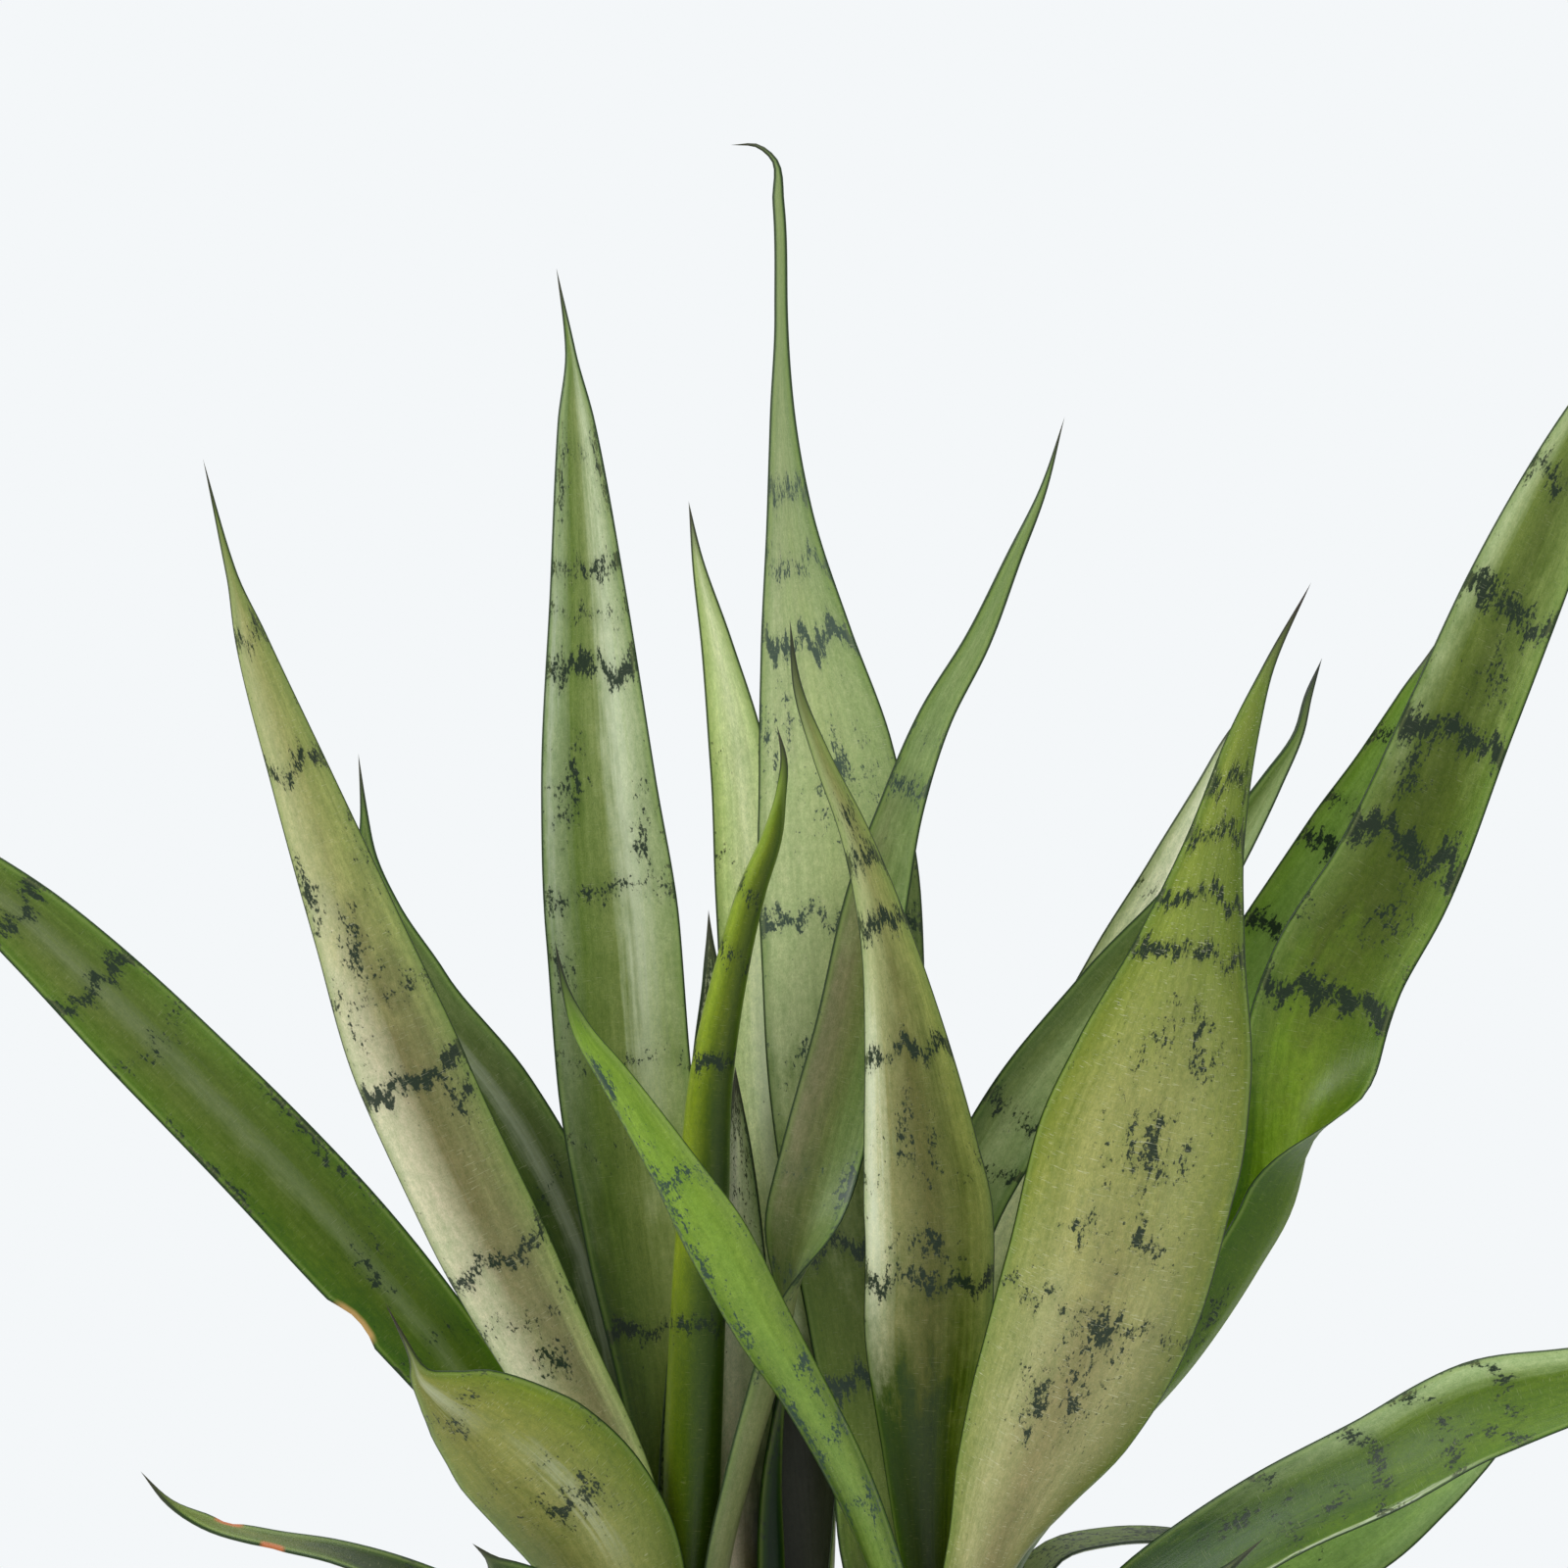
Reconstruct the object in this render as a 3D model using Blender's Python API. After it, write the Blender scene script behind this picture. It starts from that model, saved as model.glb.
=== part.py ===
"""Potted snake plant: a plain round pot, its soil, and 25 stiff leaves that rise from three crowns.

Lengths are in millimetres here and become metres where a mesh is made. +Z is up, -Y is the
front, and the origin is the centre of the pot's flat underside.
"""

import math

import bmesh
import bpy
import numpy as np

MM = 0.001

# Pot: a plain tapered planter with a flat floor and a ring of drainage holes.
POT_HEIGHT = 165.0
POT_RIM_RADIUS = 102.0
POT_FOOT_RADIUS = 78.0
POT_WALL = 6.0
POT_FLOOR = 8.0
POT_SEGMENTS = 48
DRAIN_RADIUS = 5.0
DRAIN_CIRCLE = 42.0
DRAIN_COUNT = 4

# Soil: fills the pot to just under the rim.
HEADROOM = 10.0
SOIL_TOP = POT_HEIGHT - HEADROOM
GAP = 0.35
SOCKET_GAP = 0.6

# Leaves: each is a curved sheet, lens-shaped in section, with an awl-like tip.
LEAF_DEPTH_IN_SOIL = 12.0
STUB_ABOVE_SOIL = 8.0
BASE_THICKNESS = 3.4
TIP_THICKNESS = 2.2
SECTION_SIDES = 8
LONG_SPAN = 45.0
TURN_SPAN = 12.0
NECK_CURL = 10.0

# The leaf outlines are a front elevation, drawn as seen from this point in front of the plant.
# Each leaf is then set back or forward along the lines of sight, which keeps that elevation.
EYE_DISTANCE = 2600.0
EYE_HEIGHT = 634.0

# The crowns: where each rosette of leaves comes out of the soil, as x and y.
LEFT_CROWN = (-40.0, 0.0)
MIDDLE_CROWN = (6.0, 2.0)
RIGHT_CROWN = (58.0, 0.0)

SKINS = {
    "leaf_green": (0.10, 0.20, 0.05),
    "leaf_grey_green": (0.22, 0.31, 0.15),
    "leaf_pale": (0.38, 0.35, 0.24),
    "leaf_olive": (0.28, 0.30, 0.10),
    "leaf_bright": (0.17, 0.34, 0.05),
}

# One row a leaf:
#   name, skin, crown, direction of its base round the crown in degrees, its distance from the
#   crown's middle, the blade's y at half its length and at its tip, the way the blade's inner
#   face looks, the shares of its length between which it turns and opens to that from the
#   base, the half angle of the blade's curl, and the outline: x, height over the soil, width.
LEAVES = [
    ("leaf_far_left", "leaf_green", LEFT_CROWN, 170, 20, (16, 42), (0.25, -1, 0.1), (0.1, 0.4), 24,
     [(-78, 70, 28), (-117, 130, 34), (-166, 188, 40), (-223, 247, 38), (-266, 289, 31),
      (-312, 328, 14), (-330, 344, 3), (-348, 359, 0)]),
    ("leaf_left_pale", "leaf_pale", LEFT_CROWN, -115, 10, (-40, -88), (0, 1, 0), (0.1, 0.35), 32,
     [(-61, 91, 30), (-84, 136, 36), (-109, 186, 42), (-133, 238, 42), (-153, 291, 33),
      (-172, 343, 23), (-190, 394, 12), (-197, 418, 4), (-207, 459, 0)]),
    ("leaf_left_back", "leaf_grey_green", LEFT_CROWN, 130, 15, (34, 52), (0, -1, 0), (0.1, 0.4), 30,
     [(-54, 80, 25), (-63, 133, 28), (-79, 189, 30), (-102, 230, 30), (-132, 269, 28),
      (-145, 298, 17), (-149, 318, 7), (-150, 332, 3), (-152, 354, 0)]),
    ("leaf_tall_left", "leaf_green", LEFT_CROWN, 80, 10, (18, 40), (0, -1, 0), (0.05, 0.3), 24,
     [(-39, 60, 27), (-41, 114, 33), (-50, 180, 44), (-57, 238, 50), (-61, 290, 50), (-66, 342, 43),
      (-70, 413, 28), (-74, 472, 14), (-76, 497, 4), (-81, 527, 0)]),
    ("leaf_curled_front", "leaf_olive", LEFT_CROWN, -105, 15, (-62, -112), (0, 1, 0.3), (0.1, 0.4), 30,
     [(-49, 28, 34), (-57, 49, 48), (-67, 70, 56), (-79, 86, 59), (-92, 99, 57), (-104, 110, 47),
      (-114, 118, 36), (-123, 124, 21), (-130, 130, 9), (-133, 137, 3), (-143, 157, 0)]),
    ("leaf_low_front", "leaf_green", LEFT_CROWN, -108, 27, (-58, -92), (0, 1, 0.4), (0.1, 0.5), 30,
     [(-56, 14, 24), (-67, 30, 27), (-79, 42, 26), (-91, 52, 20), (-101, 60, 11), (-106, 65, 3),
      (-112, 70, 0)]),
    ("leaf_low_left", "leaf_green", LEFT_CROWN, -165, 25, (-10, -22), (-0.2, -0.7, 1), (0.1, 0.4), 26,
     [(-84, 27, 24), (-115, 46, 22), (-141, 59, 17), (-161, 66, 13), (-185, 71, 10),
      (-207, 77, 8), (-221, 85, 3), (-231, 96, 0)]),
    ("leaf_olive_channel", "leaf_olive", LEFT_CROWN, -60, 5, (-14, -26), (0, 1, 0), (0.0, 0.2), 78,
     [(-34, 63, 26), (-33, 98, 28), (-31, 150, 27), (-29, 190, 25), (-26, 238, 21), (-20, 271, 17),
      (-11, 306, 13), (-4, 325, 9), (-1, 340, 4), (0, 351, 2.6), (-2.5, 364, 0)]),
    ("leaf_small_middle", "leaf_pale", LEFT_CROWN, 100, 5, (4, 0), (0.2, -1, 0), (0.1, 0.4), 50,
     [(-38, 100, 17), (-33, 160, 17), (-30, 215, 16), (-27, 250, 13), (-26, 272, 8), (-26.5, 286, 3),
      (-27, 298, 0)]),
    ("leaf_right_of_centre", "leaf_grey_green", LEFT_CROWN, -12, 15, (-4, 14), (0, -1, 0), (0.29, 0.47), 30,
     [(-21, 63, 27), (-13, 96, 29), (0, 142, 30), (6, 175, 31), (14, 212, 31), (25, 256, 29),
      (34, 306, 23), (42, 335, 17), (54, 367, 13), (69, 394, 10), (82, 424, 6), (92, 447, 3),
      (100, 474, 0)]),
    ("leaf_behind_channel", "leaf_pale", MIDDLE_CROWN, 160, 17, (16, 14), (0, -1, 0), (0.1, 0.4), 40,
     [(-14, 63, 22), (-14, 98, 23), (-14, 147, 22), (-14.5, 175, 17), (-15.5, 205, 11), (-17, 230, 4),
      (-17.5, 242, 0)]),
    ("leaf_inner_small", "leaf_green", MIDDLE_CROWN, 200, 10, (2, 5), (-0.5, 1, 0), (0.1, 0.5), 40,
     [(-4, 63, 12), (-4, 92, 9), (-2, 115, 5), (1, 135, 2.5), (3, 148, 0)]),
    ("leaf_back_middle", "leaf_bright", MIDDLE_CROWN, 45, 6, (26, 42), (0, -1, 0), (0.1, 0.4), 26,
     [(13, 60, 30), (9, 110, 29), (-2, 180, 25), (-8, 232, 27), (-12, 300, 26), (-16, 350, 22),
      (-24, 393, 12), (-31, 424, 4), (-34, 444, 0)]),
    ("leaf_tallest", "leaf_grey_green", RIGHT_CROWN, 150, 10, (12, 30), (0, -1, 0), (0.0, 0.16), 22,
     [(37, 63, 34), (34, 105, 36), (29, 150, 42), (24, 200, 51), (22, 250, 59), (20, 300, 60),
      (15, 353, 50), (8, 395, 34), (2, 440, 17), (-0.5, 474, 9.5), (-1, 510, 5), (-2, 550, 4.4),
      (-4, 566, 2), (-9, 570, 1.5), (-19, 570.5, 0)]),
    ("leaf_front_centre", "leaf_pale", RIGHT_CROWN, -95, 5, (-26, -52), (0, 1, 0), (0.02, 0.3), 34,
     [(52, 63, 24), (51, 100, 33), (52, 150, 49), (52, 186, 49), (49, 212, 43), (44, 248, 32),
      (36, 290, 19), (25, 326, 11), (13, 354, 6.5), (5, 377, 3.4), (2, 402, 0)]),
    ("leaf_front_right", "leaf_olive", RIGHT_CROWN, -60, 10, (-70, -118), (0, 1, 0), (0.05, 0.35), 28,
     [(74, 63, 34), (84, 88, 50), (97, 116, 65), (115, 162, 75), (126, 205, 76), (136, 241, 65),
      (146, 285, 39), (155, 325, 20), (165, 363, 10), (173, 385, 4), (188, 415, 0)]),
    ("leaf_far_right", "leaf_green", RIGHT_CROWN, 12, 15, (22, 48), (0, -1, 0), (0.38, 0.49), 22,
     [(84, 63, 30), (113, 99, 38), (147, 137, 44), (169, 170, 47), (181, 192, 49), (185, 213, 50),
      (187, 233, 51), (190, 254, 51), (197, 275, 50), (216, 308, 47),
      (241, 366, 41), (260, 411, 37), (281, 457, 28), (300, 493, 17), (310, 512, 5), (324, 538, 0)]),
    ("leaf_right_back", "leaf_bright", RIGHT_CROWN, 42, 20, (54, 72), (0, -1, 0), (0.1, 0.4), 26,
     [(75, 63, 25), (88, 125, 28), (109, 178, 30), (137, 228, 32), (165, 270, 32), (198, 322, 29),
      (215, 350, 23), (226, 374, 14), (231, 388, 4), (235, 397, 0)]),
    ("leaf_right_slim", "leaf_grey_green", RIGHT_CROWN, 106, 15, (34, 46), (0.2, -1, 0), (0.05, 0.35), 34,
     [(54, 80, 24), (53, 133, 26), (62, 185, 28), (84, 227, 30), (116, 267, 30), (141, 296, 25),
      (160, 322, 16), (174, 344, 9), (184, 362, 4), (187, 374, 3), (192, 388, 0)]),
    ("leaf_right_pale", "leaf_pale", RIGHT_CROWN, 112, 20, (48, 62), (0, -1, 0), (0.1, 0.4), 28,
     [(56, 105, 24), (64, 155, 26), (79, 198, 26), (98, 237, 25), (120, 278, 24), (139, 313, 19),
      (152, 343, 9), (159, 360, 3), (164, 369, 0)]),
    ("leaf_front_diagonal", "leaf_bright", RIGHT_CROWN, -130, 15, (-50, -64), (0, 1, 0.1), (0.1, 0.4), 40,
     [(43, 36, 16), (35, 63, 15), (21, 98, 17), (7, 124, 19), (-7, 147, 23), (-23, 177, 25),
      (-39, 204, 19), (-61, 238, 12), (-73, 256, 7), (-78, 269, 3), (-82, 287, 0)]),
    ("leaf_arching", "leaf_green", RIGHT_CROWN, -28, 20, (-26, -34), (-0.1, -1, 0.6), (0.1, 0.35), 26,
     [(94, 24, 25), (130, 49, 33), (181, 81, 37), (212, 96, 39), (249, 116, 39), (280, 125, 31),
      (301, 130, 24), (320, 132, 15), (333, 133, 4), (348, 134, 0)]),
    ("leaf_under_arching", "leaf_bright", RIGHT_CROWN, 19, 26, (24, 20), (-0.1, -1, 0.5), (0.1, 0.35), 26,
     [(99, 24, 24), (125, 34, 29), (154, 43, 31), (182, 56, 32), (210, 74, 32), (231, 92, 29),
      (246, 104, 22), (258, 113, 12), (266, 118, 3), (277, 124, 0)]),
    ("leaf_low_back", "leaf_grey_green", RIGHT_CROWN, 74, 25, (42, 50), (0, -0.3, 1), (0.1, 0.4), 26,
     [(76, 24, 20), (86, 52, 20), (98, 66, 18), (116, 71, 16), (134, 72, 14), (155, 69, 11),
      (175, 64, 6), (186, 61, 3), (199, 54, 0)]),
    ("leaf_low_right_tip", "leaf_green", RIGHT_CROWN, -64, 28, (-46, -54), (0, -1, 0.7), (0.1, 0.4), 30,
     [(80, 12, 20), (100, 24, 20), (120, 33, 17), (138, 43, 13), (152, 54, 8), (161, 62, 3),
      (172.5, 72, 0)]),
]


# Leaves folded along the middle below where they open: the shares of the length between which
# the fold closes, and its half angle.
FOLDS = {
    "leaf_far_right": (0.1, 0.28, 84),
}


def smooth_step(low, high, t):
    """0 below low, 1 above high, and an even S between them."""
    t = np.clip((np.asarray(t, float) - low) / (high - low), 0, 1)
    return t * t * (3 - 2 * t)


def unit(v):
    return v / np.linalg.norm(v, axis=-1, keepdims=True)


def through(knots, values, at, bounded=False):
    """A smooth curve through values at knots. Bounded, it never swings past a value."""
    span = np.diff(knots)
    rise = np.diff(values, axis=0) / span.reshape(-1, *[1] * (values.ndim - 1))
    slope = np.empty_like(values)
    slope[0], slope[-1] = rise[0], rise[-1]
    for i in range(1, len(knots) - 1):
        before, after = rise[i - 1], rise[i]
        slope[i] = (before * span[i] + after * span[i - 1]) / (span[i] + span[i - 1])
        if bounded:
            slope[i] = 0 if before * after <= 0 else 2 * before * after / (before + after)
    i = np.clip(np.searchsorted(knots, at, side="right") - 1, 0, len(span) - 1)
    width = span[i].reshape(-1, *[1] * (values.ndim - 1))
    t = ((at - knots[i]) / span[i]).reshape(-1, *[1] * (values.ndim - 1))
    return (
        (2 * t**3 - 3 * t**2 + 1) * values[i]
        + (t**3 - 2 * t**2 + t) * width * slope[i]
        + (3 * t**2 - 2 * t**3) * values[i + 1]
        + (t**3 - t**2) * width * slope[i + 1]
    )


def leaf_shape(row, base_width=24.0):
    """The leaf's middle line as 3-D points, with the share of its length and the width at each."""
    _, _, crown, azimuth, ring, depth, _, _, _, outline = row
    turn = math.radians(azimuth)
    foot = np.array([crown[0] + ring * math.cos(turn), crown[1] + ring * math.sin(turn)])
    base_width = min(base_width, 2.8 * ring, outline[0][2])
    flat = [(foot[0], -LEAF_DEPTH_IN_SOIL, base_width), (foot[0], STUB_ABOVE_SOIL, base_width)]
    flat = np.array(flat + list(outline), float)
    share = np.concatenate([[0], np.cumsum(np.hypot(*np.diff(flat[:, :2], axis=0).T))])
    share /= share[-1]
    middle, tip = depth
    y = foot[1] * (1 - share) * (1 - 2 * share) + 4 * middle * share * (1 - share)
    y += tip * share * (2 * share - 1)
    y[:2] = foot[1]
    scale = np.where(np.arange(len(y)) < 2, 1, 1 + y / EYE_DISTANCE)
    z = EYE_HEIGHT + (SOIL_TOP + flat[:, 1] - EYE_HEIGHT) * scale
    return np.stack([flat[:, 0] * scale, y, z], axis=1), share, flat[:, 2]


def section(half, s, lift, curl, crease):
    """A blade's section, across and up: an even curl, or one creased along its middle."""

    def heading(way, curl, crease):
        return curl * ((1 - crease) * way + crease * np.tanh(3 * way) / math.tanh(3))

    way = s[..., None] * (np.arange(24) + 0.5) / 24
    path = heading(way, curl[..., None], crease[..., None])
    turn = heading(s, curl, crease)
    out = half * s * np.cos(path).mean(-1) - lift * np.sin(turn)
    up = half * s * np.sin(path).mean(-1) + lift * np.cos(turn)
    return out, up


def leaf_points(row, at, around, grow=0.0):
    """Points on the leaf's skin, for shares of its length and for turns round its section."""
    name, _, _, azimuth, ring, _, face, turning, open_curl, _ = row
    middle, share, width = leaf_shape(row)
    spine = through(share, middle, at)
    ahead = through(share, middle, np.clip(at + 1e-3, 0, 1))
    behind = through(share, middle, np.clip(at - 1e-3, 0, 1))
    along = unit(ahead - behind)
    breadth = np.maximum(through(share, width, at, bounded=True), 0)

    opened = smooth_step(*turning, at)[:, None]
    turn = math.radians(azimuth)
    inward = np.array([-math.cos(turn), -math.sin(turn), 0.0])
    face = unit(inward * (1 - opened) + unit(np.array(face, float)) * opened)
    inner = unit(face - (face * along).sum(1, keepdims=True) * along)
    across = np.cross(along, inner)

    base_curl = min(math.degrees(width[0] / (2 * ring)), 80)
    neck = smooth_step(share[-3], share[-2], at)[:, None]
    curl = base_curl + (open_curl - base_curl) * opened
    curl = np.radians(curl + (NECK_CURL - curl) * neck)
    start, end, fold_curl = FOLDS.get(name, (0, 1, 0))
    crease = smooth_step(start, end, at)[:, None] * (1 - opened) * (fold_curl > 0)
    curl += (math.radians(fold_curl) - curl) * crease
    thickness = BASE_THICKNESS + (TIP_THICKNESS - BASE_THICKNESS) * at
    thickness = np.minimum(thickness, 0.85 * breadth) + 2 * grow

    half = breadth[:, None] / 2
    s = -np.cos(around)[None, :] * (1 + grow / np.maximum(half, 1))
    lift = np.sin(around)[None, :] * thickness[:, None] / 2
    out, up = section(half, s, lift, curl, crease)
    return spine[:, None] + out[..., None] * across[:, None] + up[..., None] * inner[:, None]


def ring_shares(row):
    """Where the leaf has its rings: at each given width, and closer together where it turns."""
    middle, share, _ = leaf_shape(row)
    length = np.linalg.norm(np.diff(middle, axis=0), axis=1).sum()
    start, end = row[7]
    rings = [share[0]]
    for a, b in zip(share, share[1:]):
        span = TURN_SPAN if b > start and a < end else LONG_SPAN
        rings += list(np.linspace(a, b, 1 + math.ceil((b - a) * length / span))[1:])
    return np.array(rings)


def closed_tube(at, sides, points_at):
    """A grid rolled into a tube, one ring for each share, closed at its foot and its tip."""
    bm = bmesh.new()
    bmesh.ops.create_grid(bm, x_segments=len(at) - 1, y_segments=sides, size=1)
    cells = [
        (round((v.co.x + 1) / 2 * (len(at) - 1)), round((v.co.y + 1) / 2 * sides)) for v in bm.verts
    ]
    skin = points_at(at, np.arange(sides) * 2 * math.pi / sides) * MM
    for v, (i, j) in zip(bm.verts, cells):
        v.co = skin[i, j % sides]
    bmesh.ops.remove_doubles(bm, verts=bm.verts, dist=1e-6)
    bmesh.ops.holes_fill(bm, edges=[e for e in bm.edges if e.is_boundary], sides=0)
    bmesh.ops.triangulate(bm, faces=[f for f in bm.faces if len(f.verts) > 4])
    bmesh.ops.recalc_face_normals(bm, faces=bm.faces)
    return bm


def material(name, colour, roughness):
    mat = bpy.data.materials.get(name)
    if mat:
        return mat
    mat = bpy.data.materials.new(name)
    mat.use_nodes = True
    shader = mat.node_tree.nodes["Principled BSDF"]
    shader.inputs["Base Color"].default_value = (*colour, 1)
    shader.inputs["Roughness"].default_value = roughness
    shader.inputs["Metallic"].default_value = 0.0
    return mat


def new_object(name, bm, mat=None):
    mesh = bpy.data.meshes.new(name)
    bm.to_mesh(mesh)
    bm.free()
    obj = bpy.data.objects.new(name, mesh)
    bpy.context.collection.objects.link(obj)
    if mat:
        mesh.materials.append(mat)
        mesh.shade_smooth()
        mesh.set_sharp_from_angle(angle=math.radians(50))
    return obj


def turned(name, profile, mat):
    """A solid of revolution about Z from a closed outline of radius and height."""
    bm = bmesh.new()
    verts = [bm.verts.new((r * MM, 0, z * MM)) for r, z in profile]
    edges = [bm.edges.new(pair) for pair in zip(verts, verts[1:])]
    bmesh.ops.spin(
        bm, geom=verts + edges, cent=(0, 0, 0), axis=(0, 0, 1), angle=2 * math.pi,
        steps=POT_SEGMENTS, use_merge=True,
    )
    bmesh.ops.remove_doubles(bm, verts=bm.verts, dist=1e-6)
    bmesh.ops.recalc_face_normals(bm, faces=bm.faces)
    return new_object(name, bm, mat)


def cut(obj, cutter):
    """Leaves a Boolean difference on obj, with the cutter kept out of the model."""
    cutter.hide_render = True
    cutter.display_type = "WIRE"
    modifier = obj.modifiers.new(cutter.name, "BOOLEAN")
    modifier.operation = "DIFFERENCE"
    modifier.object = cutter


def wall_radius(z, inset=0.0):
    """The pot's outer radius at a height, less an inset."""
    return POT_FOOT_RADIUS + (POT_RIM_RADIUS - POT_FOOT_RADIUS) * z / POT_HEIGHT - inset


def make_pot():
    soften = 2.0
    profile = [
        (0, POT_FLOOR),
        (wall_radius(POT_FLOOR, POT_WALL) - 3, POT_FLOOR),
        (wall_radius(POT_FLOOR + 4, POT_WALL), POT_FLOOR + 4),
        (wall_radius(POT_HEIGHT - soften, POT_WALL), POT_HEIGHT - soften),
        (POT_RIM_RADIUS - POT_WALL + soften, POT_HEIGHT),
        (POT_RIM_RADIUS - soften, POT_HEIGHT),
        (wall_radius(POT_HEIGHT - soften), POT_HEIGHT - soften),
        (wall_radius(soften), soften),
        (POT_FOOT_RADIUS - soften, 0),
        (0, 0),
    ]
    pot = turned("pot", profile, material("pot", (0.72, 0.70, 0.66), 0.55))
    bm = bmesh.new()
    for i in range(DRAIN_COUNT):
        made = bmesh.ops.create_cone(
            bm, cap_ends=True, segments=16, radius1=DRAIN_RADIUS * MM, radius2=DRAIN_RADIUS * MM,
            depth=3 * POT_FLOOR * MM,
        )
        turn = math.radians(45 + i * 360 / DRAIN_COUNT)
        place = (DRAIN_CIRCLE * math.cos(turn) * MM, DRAIN_CIRCLE * math.sin(turn) * MM, 0)
        bmesh.ops.translate(bm, verts=made["verts"], vec=place)
    cut(pot, new_object("drain_cutter", bm))


def make_soil():
    low = POT_FLOOR + GAP
    profile = [
        (0, low),
        (wall_radius(low, POT_WALL + GAP) - 4, low),
        (wall_radius(low + 5, POT_WALL + GAP), low + 5),
        (wall_radius(SOIL_TOP, POT_WALL + GAP), SOIL_TOP),
        (0, SOIL_TOP),
    ]
    return turned("soil", profile, material("soil", (0.05, 0.035, 0.025), 0.95))


def make_leaf(row, soil):
    name, skin = row[:2]
    at = ring_shares(row)
    bm = closed_tube(at, SECTION_SIDES, lambda u, round_: leaf_points(row, u, round_))
    new_object(name, bm, material(skin, SKINS[skin], 0.4))

    # Its socket in the soil is the same stub, a gap wider all round.
    _, share, _ = leaf_shape(row)
    stub = at[at <= share[3]]

    def grown(u, round_):
        points = leaf_points(row, u, round_, grow=SOCKET_GAP)
        points[0, :, 2] -= SOCKET_GAP
        return points

    socket = closed_tube(stub, SECTION_SIDES, grown)
    cut(soil, new_object(name + "_socket", socket))


for old in list(bpy.data.objects):
    bpy.data.objects.remove(old)
make_pot()
soil = make_soil()
for row in LEAVES:
    make_leaf(row, soil)
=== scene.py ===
import math
import random

import bmesh
import bpy
import numpy as np
from mathutils import Matrix, Vector, noise


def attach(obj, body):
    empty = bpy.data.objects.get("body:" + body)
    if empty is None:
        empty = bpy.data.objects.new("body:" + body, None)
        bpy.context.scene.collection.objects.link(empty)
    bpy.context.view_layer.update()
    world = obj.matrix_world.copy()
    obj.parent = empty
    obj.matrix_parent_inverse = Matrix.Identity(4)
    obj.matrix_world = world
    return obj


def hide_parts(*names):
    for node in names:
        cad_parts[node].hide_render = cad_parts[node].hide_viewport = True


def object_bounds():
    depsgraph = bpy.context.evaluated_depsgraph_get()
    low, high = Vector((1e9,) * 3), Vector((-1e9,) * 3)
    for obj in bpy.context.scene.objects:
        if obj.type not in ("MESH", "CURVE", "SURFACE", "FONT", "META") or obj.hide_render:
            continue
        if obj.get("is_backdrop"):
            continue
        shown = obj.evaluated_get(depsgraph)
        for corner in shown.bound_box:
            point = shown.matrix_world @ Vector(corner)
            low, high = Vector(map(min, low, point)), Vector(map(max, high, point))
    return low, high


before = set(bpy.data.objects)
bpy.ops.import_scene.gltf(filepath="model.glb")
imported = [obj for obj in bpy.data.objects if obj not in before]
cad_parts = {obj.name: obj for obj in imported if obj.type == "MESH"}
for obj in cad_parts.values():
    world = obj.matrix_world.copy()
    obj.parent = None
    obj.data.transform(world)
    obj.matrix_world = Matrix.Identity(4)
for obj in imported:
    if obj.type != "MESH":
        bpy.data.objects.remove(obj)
cad_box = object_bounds()


# ---- The studio -----------------------------------------------------------------------------
# A pale round floor under the plant that fades out at its edge, in an even pale room, with one
# large soft light to the left of the front, one above and a weak one to the right.

MM = 0.001
VIEW_HEIGHT = 0.498
VIEW_DISTANCE = 2.6
VIEW_TILT = math.radians(3)
VIEW_WIDTH = 0.56
SENSOR = 36.0
ROOM_GLOW = 0.52
FLOOR_RADIUS = 1.2
FADE_START = 0.6
FADE_WIDTH = 0.55
LIGHT_AIM = (0, 0, 0.35)


def colour(red, green, blue):
    """A screen colour, each share 0 to 255, as the linear colour that a shader takes."""
    share = [v / 255 for v in (red, green, blue)]
    return (*[v / 12.92 if v <= 0.04045 else ((v + 0.055) / 1.055) ** 2.4 for v in share], 1.0)


class Wire:
    """One socket of a material's nodes. Used in an expression, it adds Math nodes."""

    def __init__(self, tree, socket=None):
        self.tree = tree
        self.socket = socket

    def node(self, kind, settings=None, inputs=None, output=0):
        made = self.tree.nodes.new("ShaderNode" + kind)
        for name, value in (settings or {}).items():
            if name == "stops":
                stops = made.color_ramp.elements
                while len(stops) < len(value):
                    stops.new(0.5)
                for stop, (where, tint) in zip(stops, value):
                    stop.position = where
                    stop.color = tint
            else:
                setattr(made, name, value)
        for name, value in (inputs or {}).items():
            if isinstance(value, Wire):
                self.tree.links.new(value.socket, made.inputs[name])
            else:
                made.inputs[name].default_value = value
        return Wire(self.tree, made.outputs[output] if made.outputs else None)

    def maths(self, operation, *terms):
        return self.node("Math", {"operation": operation}, dict(enumerate(terms)))

    def mix(self, factor, first, second, how="MIX"):
        settings = {"data_type": "RGBA", "blend_type": how}
        return self.node("Mix", settings, {0: factor, 6: first, 7: second}, 2)

    def clamp(self):
        return self.node("Clamp", None, {0: self})

    def __add__(self, other):
        return self.maths("ADD", self, other)

    def __radd__(self, other):
        return self.maths("ADD", other, self)

    def __sub__(self, other):
        return self.maths("SUBTRACT", self, other)

    def __rsub__(self, other):
        return self.maths("SUBTRACT", other, self)

    def __mul__(self, other):
        return self.maths("MULTIPLY", self, other)

    def __rmul__(self, other):
        return self.maths("MULTIPLY", other, self)

    def __truediv__(self, other):
        return self.maths("DIVIDE", self, other)


def new_material(name):
    mat = bpy.data.materials.new(name)
    mat.use_nodes = True
    mat.node_tree.nodes.clear()
    return mat, Wire(mat.node_tree)


def finish_material(shade, shader):
    shade.node("OutputMaterial", None, {"Surface": shader})


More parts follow.
